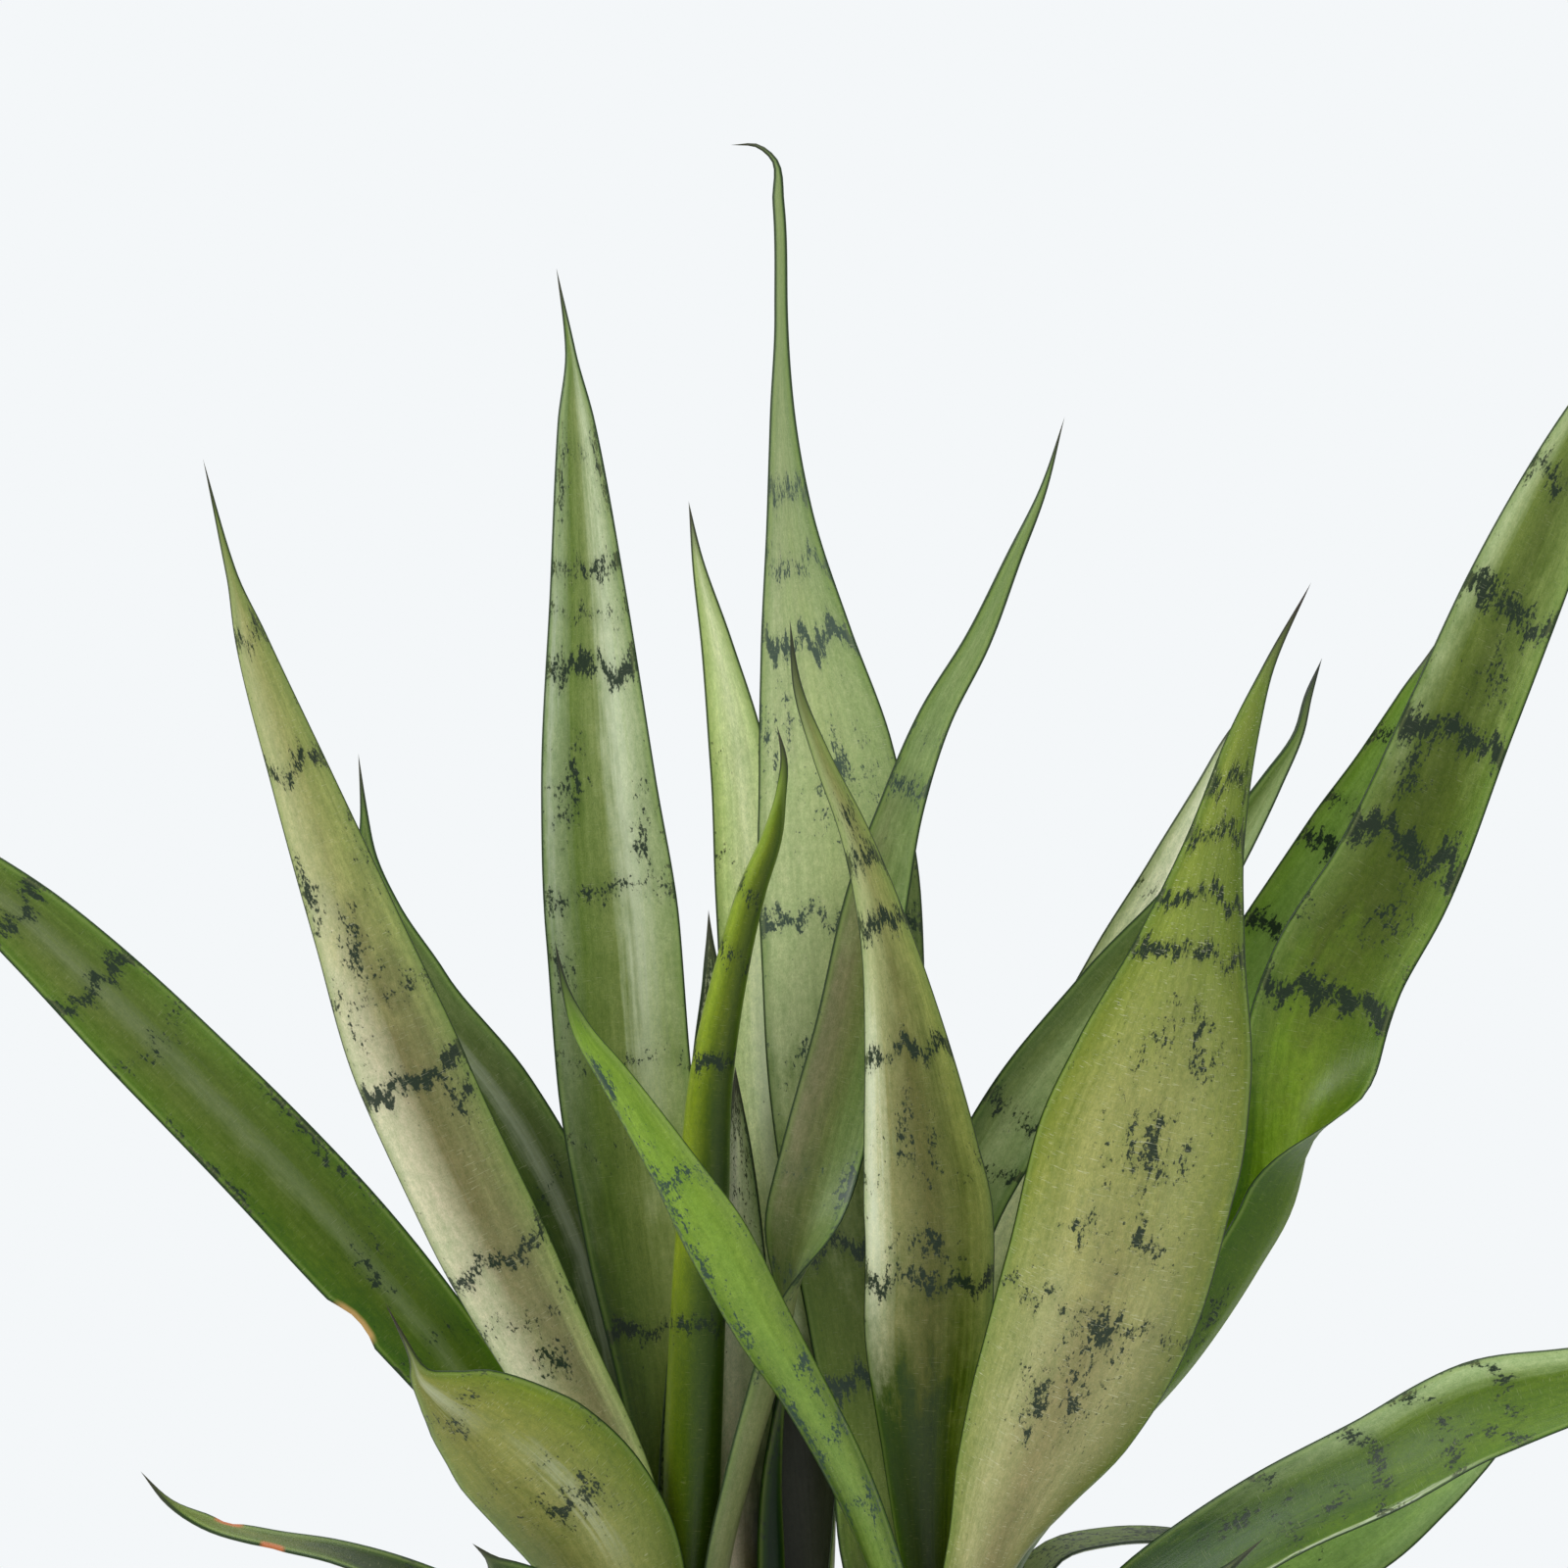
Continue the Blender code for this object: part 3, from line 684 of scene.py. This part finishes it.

    # The hard margin, the dry scars in it, painted shade on the foot and the dark awl.
    rim = (1 - (edge - 0.4) / 0.4).clamp()
    tone = shade.mix(rim * 0.9, tone, colour(22, 44, 12))
    inside = ((edge - 0.8) / 0.6).clamp() * (1 - ((edge - 1.3) / 1.2).clamp())
    tone = shade.mix(inside * 0.35 * streak, tone, colour(176, 190, 110))
    for centre, which, _, reach in look["nicks"]:
        off = near(share, centre, 1.25 * reach / length)
        dry = (off * 3).clamp() * (1 - (edge - 1.2) / 1.6).clamp() * ((across * which) * 6).clamp()
        tone = shade.mix(dry, tone, colour(*look["scar"]))
    # Painted shade: the front of the foot is darkened nearly to black, for the deep shade in the
    # crown.
    if look["foot"]:
        painted_foot_shade = ((look["foot"] - share + (mottle - 0.5) * 0.1) / 0.08).clamp()
        painted_foot_shade = painted_foot_shade * (side * 4 + 0.5).clamp()
        tone = shade.mix(painted_foot_shade * 0.96, tone, colour(6, 9, 3))
    tip = look["tip"]
    awl = ((share - (1 - tip / length)) * (length / tip) * 1.3).clamp()
    tone = shade.mix(awl * 0.85, tone, colour(*look["tip_colour"]))

    rough = 0.40 + (mottle - 0.5) * 0.2 + (grain - 0.5) * 0.2
    height = streak * 0.5 + grain * 0.35 - dots * 0.12
    bump = shade.node("Bump", None, {"Strength": 0.35, "Distance": 0.0007, "Height": height})
    finish_material(shade, shade.node("BsdfPrincipled", None, {
        "Base Color": tone, "Roughness": rough, "Normal": bump, "Specular IOR Level": 0.32,
    }))
    return mat


def grow_leaf(
    node, slot, crown, azimuth, ring, depth, face, turning, open_curl, outline,
    fold=(0, 1, 0), **changes,
):
    """Makes one leaf in the place of its CAD node, with any changes to the usual look.

    low, mid and high are rows of five tones from the left margin to the right one: the blade's
    own colours with the light and shade seen on it painted in. zones says where along the blade
    mid and high begin, as shares of its length, as do all places below. A band is its place,
    strength and half height in millimetres. A blot is its place, its place across from -1 to 1,
    half height and half width. A painted highlight is its place across, half width, strength,
    start and end. A nick is its place, side, depth and reach. foot is the share of the length
    up to which painted shade darkens the front of the blade.
    """
    look = {
        "mid": None, "zones": (0.34, 0.34), "bands": (), "blots": (), "sheens": (),
        "specks": 0.9, "band_colour": DARK_BAND, "back": (150, 152, 112),
        "nicks": (), "scar": (176, 142, 84), "worn": 0.25, "foot": 0, "tip": 22.0,
        "tip_colour": (58, 58, 42),
    }
    look.update(changes)
    seed = len(bpy.data.materials)
    bm = leaf_mesh(
        crown, azimuth, ring, depth, face, turning, open_curl, outline, fold, look["nicks"], seed,
    )
    middle, _, _ = leaf_line(crown, azimuth, ring, depth, outline)
    length = float(np.linalg.norm(np.diff(middle, axis=0), axis=1).sum())
    name = node.replace("leaf_", "") + "_blade"
    piece = place(name, bm, leaf_skin(name + "_skin", length, seed, look))
    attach(piece, "root")
    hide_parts(node)


grow_leaf(
    "leaf_far_left", "leaf_green", LEFT_CROWN, 170, 20, (16, 42), (0.25, -1, 0.1), (0.1, 0.4), 24,
    [(-78, 70, 28), (-117, 130, 34), (-166, 188, 40), (-223, 247, 38), (-266, 289, 31),
     (-312, 328, 14), (-330, 344, 3), (-348, 359, 0)],
    low=[(52, 80, 10), (62, 84, 22), (72, 90, 34), (62, 80, 24), (60, 84, 16)],
    high=[(80, 102, 40), (84, 98, 46), (82, 94, 50), (78, 94, 42), (84, 106, 44)],
    bands=[(0.66, 0.5), (0.72, 0.9), (0.80, 0.9), (0.86, 0.5), (0.35, 0.4)],
    nicks=[(0.405, -1, 3.0, 9.0)],
    sheens=[(0.05, 0.3, 0.07, 0.2, 0.9)],
    blots=[(0.28, -0.9, 60, 0.35), (0.55, -0.9, 40, 0.3), (0.52, 0.9, 60, 0.25),
           (0.42, 0.1, 24, 0.5)],
    specks=1.2,
)
grow_leaf(
    "leaf_left_pale", "leaf_pale", LEFT_CROWN, -115, 10, (-40, -88), (0, 1, 0), (0.1, 0.35), 32,
    [(-61, 91, 30), (-84, 136, 36), (-109, 186, 42), (-133, 238, 42), (-153, 291, 33),
     (-172, 343, 23), (-190, 394, 12), (-197, 418, 4), (-207, 459, 0)],
    low=[(200, 204, 166), (192, 192, 160), (146, 144, 108), (116, 112, 78), (164, 174, 112)],
    mid=[(200, 200, 166), (180, 176, 146), (112, 106, 72), (118, 118, 78), (128, 140, 82)],
    high=[(188, 190, 140), (160, 163, 116), (150, 152, 98), (140, 148, 86), (146, 156, 88)],
    bands=[(0.345, 0.4, 7), (0.39, 0.7), (0.53, 0.9), (0.60, 0.5, 9), (0.77, 0.8), (0.87, 0.7)],
    specks=1.3, back=(96, 122, 66),
    zones=(0.3, 0.56),
    blots=[(0.63, 0.0, 26, 0.8), (0.31, 0.1, 12, 0.6), (0.57, -0.7, 14, 0.4),
           (0.68, -0.7, 24, 0.4), (0.5, 0.6, 30, 0.4), (0.7, 0.8, 24, 0.3)],
    worn=0.6,
)
grow_leaf(
    "leaf_left_back", "leaf_grey_green", LEFT_CROWN, 130, 15, (34, 52), (0, -1, 0), (0.1, 0.4), 30,
    [(-54, 80, 25), (-63, 133, 28), (-79, 189, 30), (-102, 230, 30), (-132, 269, 28),
     (-145, 298, 17), (-149, 318, 7), (-150, 332, 3), (-152, 354, 0)],
    low=[(18, 38, 4), (32, 48, 10), (40, 54, 20), (32, 42, 10), (22, 36, 6)],
    high=[(60, 80, 30), (66, 80, 40), (78, 88, 56), (80, 92, 54), (88, 104, 60)],
    bands=[(0.55, 0.4)],
    sheens=[(0.0, 0.3, 0.22, 0.3, 0.85)],
)
grow_leaf(
    "leaf_tall_left", "leaf_green", LEFT_CROWN, 80, 10, (18, 40), (0, -1, 0), (0.05, 0.3), 24,
    [(-39, 60, 27), (-41, 114, 33), (-50, 180, 44), (-57, 238, 50), (-61, 290, 50), (-66, 342, 43),
     (-70, 413, 28), (-74, 472, 14), (-76, 497, 4), (-81, 527, 0)],
    low=[(56, 72, 18), (80, 98, 40), (100, 114, 54), (122, 134, 74), (112, 130, 60)],
    high=[(160, 175, 138), (95, 114, 56), (116, 130, 78), (176, 188, 152), (140, 154, 112)],
    bands=[(0.295, 0.9), (0.42, 0.3), (0.475, 0.5), (0.585, 0.6), (0.735, 1.0), (0.77, 0.5),
           (0.80, 0.7), (0.88, 0.4)],
    sheens=[(0.35, 0.3, 0.3, 0.4, 0.85), (-0.9, 0.12, 0.3, 0.5, 0.9)],
    specks=1.2,
    blots=[(0.62, 0.7, 30, 0.4), (0.66, -0.5, 26, 0.5), (0.86, -0.7, 22, 0.5),
           (0.86, 0.8, 26, 0.4), (0.53, -0.8, 26, 0.3)],
)
grow_leaf(
    "leaf_curled_front", "leaf_olive", LEFT_CROWN, -105, 15, (-62, -112), (0, 1, 0.3), (0.1, 0.4),
    30,
    [(-49, 28, 34), (-57, 49, 48), (-67, 70, 56), (-79, 86, 59), (-92, 99, 57), (-104, 110, 47),
     (-114, 118, 36), (-123, 124, 21), (-130, 130, 9), (-133, 137, 3), (-143, 157, 0)],
    low=[(96, 110, 52), (124, 128, 72), (150, 152, 96), (126, 134, 74), (90, 104, 40)],
    high=[(120, 126, 54), (118, 118, 56), (134, 136, 72), (124, 130, 58), (112, 128, 40)],
    bands=[(0.60, 0.3), (0.77, 0.4)], specks=1.3, back=(92, 116, 60),
    blots=[(0.52, 0.1, 18, 0.9), (0.75, -0.4, 10, 0.5)],
    worn=0.7,
    tip=34.0,
    tip_colour=(46, 36, 26),
    sheens=[(-0.1, 0.3, 0.45, 0.7, 0.95), (0.15, 0.15, 0.3, 0.35, 0.7)],
)
grow_leaf(
    "leaf_low_front", "leaf_green", LEFT_CROWN, -108, 27, (-58, -92), (0, 1, 0.4), (0.1, 0.5), 30,
    [(-56, 14, 24), (-67, 30, 27), (-79, 42, 26), (-91, 52, 20), (-101, 60, 11), (-106, 65, 3),
     (-112, 70, 0)],
    low=[(42, 66, 20)] * 5, high=[(42, 66, 20)] * 5, bands=[(0.5, 0.6)],
)
grow_leaf(
    "leaf_low_left", "leaf_green", LEFT_CROWN, -165, 25, (-10, -22), (-0.2, -0.7, 1), (0.1, 0.4),
    26,
    [(-84, 27, 24), (-115, 46, 22), (-141, 59, 17), (-161, 66, 13), (-185, 71, 10), (-207, 77, 8),
     (-221, 85, 3), (-231, 96, 0)],
    low=[(40, 50, 14)] * 5, high=[(112, 122, 66)] * 5, bands=[(0.5, 0.5)],
    nicks=[(0.74, -1, 1.0, 4.0), (0.82, 1, 1.0, 5.0)],
    scar=(172, 100, 56),
    zones=(0.5, 0.6),
)
grow_leaf(
    "leaf_olive_channel", "leaf_olive", LEFT_CROWN, -60, 5, (-14, -26), (0, 1, 0), (0.0, 0.2), 78,
    [(-34, 63, 26), (-33, 98, 28), (-31, 150, 27), (-29, 190, 25), (-26, 238, 21), (-20, 271, 17),
     (-11, 306, 13), (-4, 325, 9), (-1, 340, 4), (0, 351, 2.6), (-2.5, 364, 0)],
    low=[(104, 118, 26), (80, 96, 8), (58, 74, 3), (46, 60, 3), (40, 54, 3)],
    mid=[(132, 146, 44), (110, 128, 26), (64, 80, 8), (44, 58, 6), (52, 66, 18)],
    high=[(138, 154, 62), (126, 146, 44), (84, 98, 20), (62, 76, 12), (74, 92, 24)],
    bands=[(0.425, 0.8), (0.675, 0.9), (0.775, 0.7), (0.83, 0.6)], back=(84, 104, 44),
    zones=(0.4, 0.58),
)
grow_leaf(
    "leaf_small_middle", "leaf_pale", LEFT_CROWN, 100, 5, (4, 0), (0.2, -1, 0), (0.1, 0.4), 50,
    [(-38, 100, 17), (-33, 160, 17), (-30, 215, 16), (-27, 250, 13), (-26, 272, 8), (-26.5, 286, 3),
     (-27, 298, 0)],
    low=[(150, 165, 115)] * 5,
    high=[(235, 240, 205), (225, 232, 190), (180, 195, 140), (140, 160, 95), (95, 118, 60)],
)
grow_leaf(
    "leaf_right_of_centre", "leaf_grey_green", LEFT_CROWN, -12, 15, (-4, 14), (0, -1, 0),
    (0.29, 0.47), 30,
    [(-21, 63, 27), (-13, 96, 29), (0, 142, 30), (6, 175, 31), (14, 212, 31), (25, 256, 29),
     (34, 306, 23), (42, 335, 17), (54, 367, 13), (69, 394, 10), (82, 424, 6), (92, 447, 3),
     (100, 474, 0)],
    low=[(96, 110, 60), (80, 92, 54), (82, 92, 52), (118, 134, 84), (108, 126, 80)],
    mid=[(128, 126, 96), (116, 114, 82), (96, 104, 60), (92, 110, 58), (110, 128, 74)],
    high=[(124, 146, 84), (127, 148, 94), (124, 143, 92), (122, 142, 88), (132, 150, 98)],
    bands=[(0.30, 0.7), (0.36, 0.6), (0.44, 0.4), (0.715, 0.8), (0.75, 0.4)],
    zones=(0.36, 0.58),
    band_colour=colour(46, 66, 56),
    blots=[(0.52, 0.85, 30, 0.3), (0.43, 0.8, 26, 0.4), (0.36, 0.7, 20, 0.5), (0.3, 0.7, 18, 0.5)],
)


# ---- The middle crown's leaves --------------------------------------------------------------
# A small young rosette between the two old ones: a bright pale blade at the back and two thin
# ones in its shade. They are the same kind of blade, narrower and more channelled.

MIDDLE_CROWN = (6.0, 2.0)

# Painted light and shade: its tones are lightened to make up for the shade it stands in, with
# painted deep shade near its right margin low down.
grow_leaf(
    "leaf_behind_channel", "leaf_pale", MIDDLE_CROWN, 160, 17, (16, 14), (0, -1, 0), (0.1, 0.4), 40,
    [(-14, 63, 22), (-14, 98, 23), (-14, 147, 22), (-14.5, 175, 17), (-15.5, 205, 11),
     (-17, 230, 4), (-17.5, 242, 0)],
    low=[(240, 235, 205), (225, 215, 185), (120, 112, 84), (34, 36, 16), (24, 30, 8)],
    high=[(250, 252, 225), (245, 248, 215), (225, 235, 185), (205, 218, 165), (190, 208, 150)],
    specks=-2.0,
    worn=0.0,
)
# Painted shade: its near-black tones stand in for the deep shade inside the crowns.
grow_leaf(
    "leaf_inner_small", "leaf_green", MIDDLE_CROWN, 200, 10, (2, 5), (-0.5, 1, 0), (0.1, 0.5), 40,
    [(-4, 63, 12), (-4, 92, 9), (-2, 115, 5), (1, 135, 2.5), (3, 148, 0)],
    low=[(20, 30, 8)] * 5, high=[(22, 32, 12)] * 5,
    worn=0.0,
    specks=-1.0,
)
# Painted light and shade: its tones are lightened to make up for the shade of the blades in front
# of it, and foot paints deep shade on its lowest part.
grow_leaf(
    "leaf_back_middle", "leaf_bright", MIDDLE_CROWN, 45, 6, (26, 42), (0, -1, 0), (0.1, 0.4), 26,
    [(13, 60, 30), (9, 110, 29), (-2, 180, 25), (-8, 232, 27), (-12, 300, 26), (-16, 350, 22),
     (-24, 393, 12), (-31, 424, 4), (-34, 444, 0)],
    low=[(190, 204, 150), (205, 216, 168), (225, 234, 196), (180, 196, 138), (160, 180, 116)],
    high=[(200, 220, 138), (196, 212, 150), (205, 216, 168), (192, 206, 150), (180, 198, 130)],
    bands=[(0.72, 0.3), (0.80, 0.3)],
    foot=0.38,
    sheens=[(0.1, 0.3, 0.5, 0.4, 0.7)],
)


# ---- The right crown's leaves ---------------------------------------------------------------
# The largest rosette, with the tallest and the broadest blades. The front ones show their pale
# backs, the back ones their green faces, and the lowest lean out over the pot's rim.

RIGHT_CROWN = (58.0, 0.0)

# Painted shade: foot darkens the front of its lowest part.
grow_leaf(
    "leaf_tallest", "leaf_grey_green", RIGHT_CROWN, 150, 10, (12, 30), (0, -1, 0), (0.0, 0.16), 22,
    [(37, 63, 34), (34, 105, 36), (29, 150, 42), (24, 200, 51), (22, 250, 59), (20, 300, 60),
     (15, 353, 50), (8, 395, 34), (2, 440, 17), (-0.5, 474, 9.5), (-1, 510, 5), (-2, 550, 4.4),
     (-4, 566, 2), (-9, 570, 1.5), (-19, 570.5, 0)],
    low=[(108, 128, 60), (112, 130, 66), (118, 134, 74), (108, 124, 66), (90, 106, 50)],
    mid=[(178, 192, 140), (172, 186, 134), (168, 182, 126), (156, 172, 118), (140, 158, 104)],
    high=[(150, 163, 122), (143, 156, 114), (138, 152, 108), (132, 148, 104), (120, 138, 92)],
    bands=[(0.235, 1.0), (0.325, 0.9), (0.515, 0.8), (0.685, 1.0), (0.73, 0.6), (0.775, 0.8)],
    band_colour=colour(60, 78, 66),
    zones=(0.3, 0.6),
    foot=0.17,
    worn=0.5,
    specks=1.2,
    blots=[(0.42, -0.2, 30, 0.8), (0.6, 0.2, 30, 0.8), (0.64, -0.7, 26, 0.4)],
)
grow_leaf(
    "leaf_front_centre", "leaf_pale", RIGHT_CROWN, -95, 5, (-26, -52), (0, 1, 0), (0.02, 0.3), 34,
    [(52, 63, 24), (51, 100, 33), (52, 150, 49), (52, 186, 49), (49, 212, 43), (44, 248, 32),
     (36, 290, 19), (25, 326, 11), (13, 354, 6.5), (5, 377, 3.4), (2, 402, 0)],
    low=[(56, 78, 8), (50, 64, 6), (46, 56, 8), (60, 72, 22), (118, 138, 56)],
    mid=[(222, 226, 186), (128, 128, 84), (96, 94, 54), (104, 110, 60), (150, 158, 84)],
    high=[(176, 184, 130), (160, 166, 118), (132, 134, 84), (134, 140, 80), (146, 156, 84)],
    bands=[(0.42, 0.9), (0.51, 0.3), (0.62, 0.9), (0.73, 1.0), (0.785, 0.7, 8)],
    specks=1.3, back=(96, 122, 66),
    zones=(0.31, 0.6),
    blots=[(0.545, -0.1, 22, 0.8), (0.45, 0.0, 14, 0.8), (0.82, 0.0, 14, 0.9)],
    tip=44.0,
    tip_colour=(44, 48, 34),
    sheens=[(-0.85, 0.22, 0.55, 0.36, 0.7)],
)
grow_leaf(
    "leaf_front_right", "leaf_olive", RIGHT_CROWN, -60, 10, (-70, -118), (0, 1, 0), (0.05, 0.35),
    28,
    [(74, 63, 34), (84, 88, 50), (97, 116, 65), (115, 162, 75), (126, 205, 76), (136, 241, 65),
     (146, 285, 39), (155, 325, 20), (165, 363, 10), (173, 385, 4), (188, 415, 0)],
    low=[(136, 144, 84), (160, 160, 112), (132, 126, 86), (148, 146, 100), (110, 116, 64)],
    mid=[(118, 128, 54), (148, 150, 90), (142, 144, 86), (146, 150, 90), (120, 130, 58)],
    high=[(106, 122, 46), (124, 138, 60), (116, 130, 60), (108, 124, 52), (92, 110, 34)],
    bands=[(0.385, 0.5, 7), (0.685, 0.8, 7), (0.73, 0.9, 6), (0.785, 0.8, 8), (0.83, 0.7, 9)],
    blots=[(0.315, 0.0, 26, 0.7), (0.375, 0.1, 14, 0.5), (0.45, 0.0, 16, 0.7),
           (0.535, 0.1, 30, 0.6), (0.61, 0.15, 24, 0.7)],
    specks=1.4, back=(96, 122, 66), worn=1.0, tip=42.0, tip_colour=(54, 44, 40),
    zones=(0.36, 0.56),
)
grow_leaf(
    "leaf_far_right", "leaf_green", RIGHT_CROWN, 12, 15, (22, 48), (0, -1, 0), (0.38, 0.49), 22,
    [(84, 63, 30), (113, 99, 38), (147, 137, 44), (169, 170, 47), (181, 192, 49), (185, 213, 50),
     (187, 233, 51), (190, 254, 51), (197, 275, 50), (216, 308, 47), (241, 366, 41), (260, 411, 37),
     (281, 457, 28), (300, 493, 17), (310, 512, 5), (324, 538, 0)],
    low=[(66, 96, 16), (120, 150, 48), (120, 146, 50), (84, 106, 34), (66, 90, 20)],
    mid=[(104, 122, 62), (74, 88, 34), (70, 82, 36), (74, 88, 34), (96, 118, 50)],
    high=[(184, 200, 150), (104, 120, 58), (84, 97, 48), (100, 116, 60), (126, 144, 80)],
    zones=(0.42, 0.64),
    bands=[(0.51, 1.0, 9), (0.55, 0.4), (0.61, 1.0, 10), (0.68, 1.0, 9), (0.76, 1.0, 10),
           (0.84, 0.7, 9)],
    fold=(0.1, 0.28, 84),
    back=(56, 82, 14),
    specks=1.3,
    blots=[(0.57, 0.3, 26, 0.6), (0.65, -0.4, 22, 0.5), (0.72, 0.3, 22, 0.5), (0.3, 0.5, 24, 0.4)],
)
grow_leaf(
    "leaf_right_back", "leaf_bright", RIGHT_CROWN, 42, 20, (54, 72), (0, -1, 0), (0.1, 0.4), 26,
    [(75, 63, 25), (88, 125, 28), (109, 178, 30), (137, 228, 32), (165, 270, 32), (198, 322, 29),
     (215, 350, 23), (226, 374, 14), (231, 388, 4), (235, 397, 0)],
    low=[(96, 124, 56), (104, 130, 66), (92, 116, 54), (82, 106, 42), (90, 116, 50)],
    high=[(118, 152, 54), (118, 150, 70), (112, 140, 70), (118, 150, 76), (124, 150, 86)],
    bands=[(0.62, 0.7), (0.725, 0.9), (0.80, 0.9), (0.84, 0.8), (0.905, 0.7)],
)
grow_leaf(
    "leaf_right_slim", "leaf_grey_green", RIGHT_CROWN, 106, 15, (34, 46), (0.2, -1, 0),
    (0.05, 0.35), 34,
    [(54, 80, 24), (53, 133, 26), (62, 185, 28), (84, 227, 30), (116, 267, 30), (141, 296, 25),
     (160, 322, 16), (174, 344, 9), (184, 362, 4), (187, 374, 3), (192, 388, 0)],
    low=[(78, 94, 54), (150, 166, 110), (200, 214, 160), (140, 160, 108), (84, 110, 46)],
    high=[(92, 112, 60), (86, 104, 48), (112, 130, 78), (140, 156, 104), (160, 176, 130)],
    bands=[(0.50, 0.6), (0.55, 0.7)], tip=32.0, tip_colour=(40, 44, 38),
)
grow_leaf(
    "leaf_right_pale", "leaf_pale", RIGHT_CROWN, 112, 20, (48, 62), (0, -1, 0), (0.1, 0.4), 28,
    [(56, 105, 24), (64, 155, 26), (79, 198, 26), (98, 237, 25), (120, 278, 24), (139, 313, 19),
     (152, 343, 9), (159, 360, 3), (164, 369, 0)],
    low=[(190, 198, 150)] * 5,
    high=[(220, 228, 180), (230, 236, 200), (240, 244, 215), (228, 235, 190), (205, 216, 160)],
    bands=[(0.82, 0.4)],
)
grow_leaf(
    "leaf_front_diagonal", "leaf_bright", RIGHT_CROWN, -130, 15, (-50, -64), (0, 1, 0.1),
    (0.1, 0.4), 40,
    [(43, 36, 16), (35, 63, 15), (21, 98, 17), (7, 124, 19), (-7, 147, 23), (-23, 177, 25),
     (-39, 204, 19), (-61, 238, 12), (-73, 256, 7), (-78, 269, 3), (-82, 287, 0)],
    low=[(26, 38, 18), (96, 118, 56), (112, 138, 66), (108, 130, 62), (60, 76, 26)],
    high=[(122, 155, 46), (122, 152, 54), (114, 144, 54), (112, 140, 52), (126, 152, 62)],
    bands=[(0.30, 0.4), (0.38, 0.5, 8), (0.70, 0.5, 9)],
    blots=[(0.84, -0.5, 20, 0.6), (0.76, -0.5, 26, 0.6), (0.64, -0.7, 30, 0.5),
           (0.54, -0.6, 26, 0.5), (0.46, 0.5, 26, 0.5), (0.42, -0.7, 26, 0.5),
           (0.34, -0.6, 26, 0.6), (0.27, 0.6, 26, 0.5)],
    band_colour=colour(42, 66, 54), back=(150, 160, 110), tip=38.0, tip_colour=(36, 38, 28),
    specks=1.7,
)
grow_leaf(
    "leaf_arching", "leaf_green", RIGHT_CROWN, -28, 20, (-26, -34), (-0.1, -1, 0.6), (0.1, 0.35),
    26,
    [(94, 24, 25), (130, 49, 33), (181, 81, 37), (212, 96, 39), (249, 116, 39), (280, 125, 31),
     (301, 130, 24), (320, 132, 15), (333, 133, 4), (348, 134, 0)],
    low=[(38, 58, 8), (44, 68, 12), (48, 74, 14), (50, 74, 14), (60, 82, 20)],
    high=[(172, 192, 140), (82, 104, 34), (74, 98, 24), (80, 104, 24), (78, 104, 26)],
    bands=[(0.45, 0.5), (0.56, 0.7), (0.64, 0.6), (0.72, 0.7)],
    specks=1.1,
    sheens=[(0.95, 0.07, 0.6, 0.25, 0.7)],
    blots=[(0.5, 0.3, 20, 0.5), (0.68, 0.2, 24, 0.5), (0.4, -0.4, 24, 0.4)],
)
grow_leaf(
    "leaf_under_arching", "leaf_bright", RIGHT_CROWN, 19, 26, (24, 20), (-0.1, -1, 0.5),
    (0.1, 0.35), 26,
    [(99, 24, 24), (125, 34, 29), (154, 43, 31), (182, 56, 32), (210, 74, 32), (231, 92, 29),
     (246, 104, 22), (258, 113, 12), (266, 118, 3), (277, 124, 0)],
    low=[(104, 134, 62)] * 5,
    high=[(122, 152, 84), (118, 150, 78), (112, 144, 74), (122, 154, 78), (130, 158, 98)],
    bands=[(0.5, 0.4), (0.6, 0.4)],
)
grow_leaf(
    "leaf_low_back", "leaf_grey_green", RIGHT_CROWN, 74, 25, (42, 50), (0, -0.3, 1), (0.1, 0.4), 26,
    [(76, 24, 20), (86, 52, 20), (98, 66, 18), (116, 71, 16), (134, 72, 14), (155, 69, 11),
     (175, 64, 6), (186, 61, 3), (199, 54, 0)],
    low=[(120, 132, 84)] * 5, high=[(80, 98, 48)] * 5,
)
grow_leaf(
    "leaf_low_right_tip", "leaf_green", RIGHT_CROWN, -64, 28, (-46, -54), (0, -1, 0.7), (0.1, 0.4),
    30,
    [(80, 12, 20), (100, 24, 20), (120, 33, 17), (138, 43, 13), (152, 54, 8), (161, 62, 3),
     (172.5, 72, 0)],
    low=[(60, 88, 26)] * 5, high=[(62, 92, 26)] * 5,
)


# ---- The finished plant ---------------------------------------------------------------------
# The plant stands as it grew, so nothing else is placed. Its size is kept beside the CAD's.

sizes = {"cad": cad_box, "scene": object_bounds()}
words = ", ".join(
    '"%s": [%s]' % (name, ", ".join(str([round(float(v), 6) for v in corner]) for corner in box))
    for name, box in sizes.items()
)
"{" + words + "}"
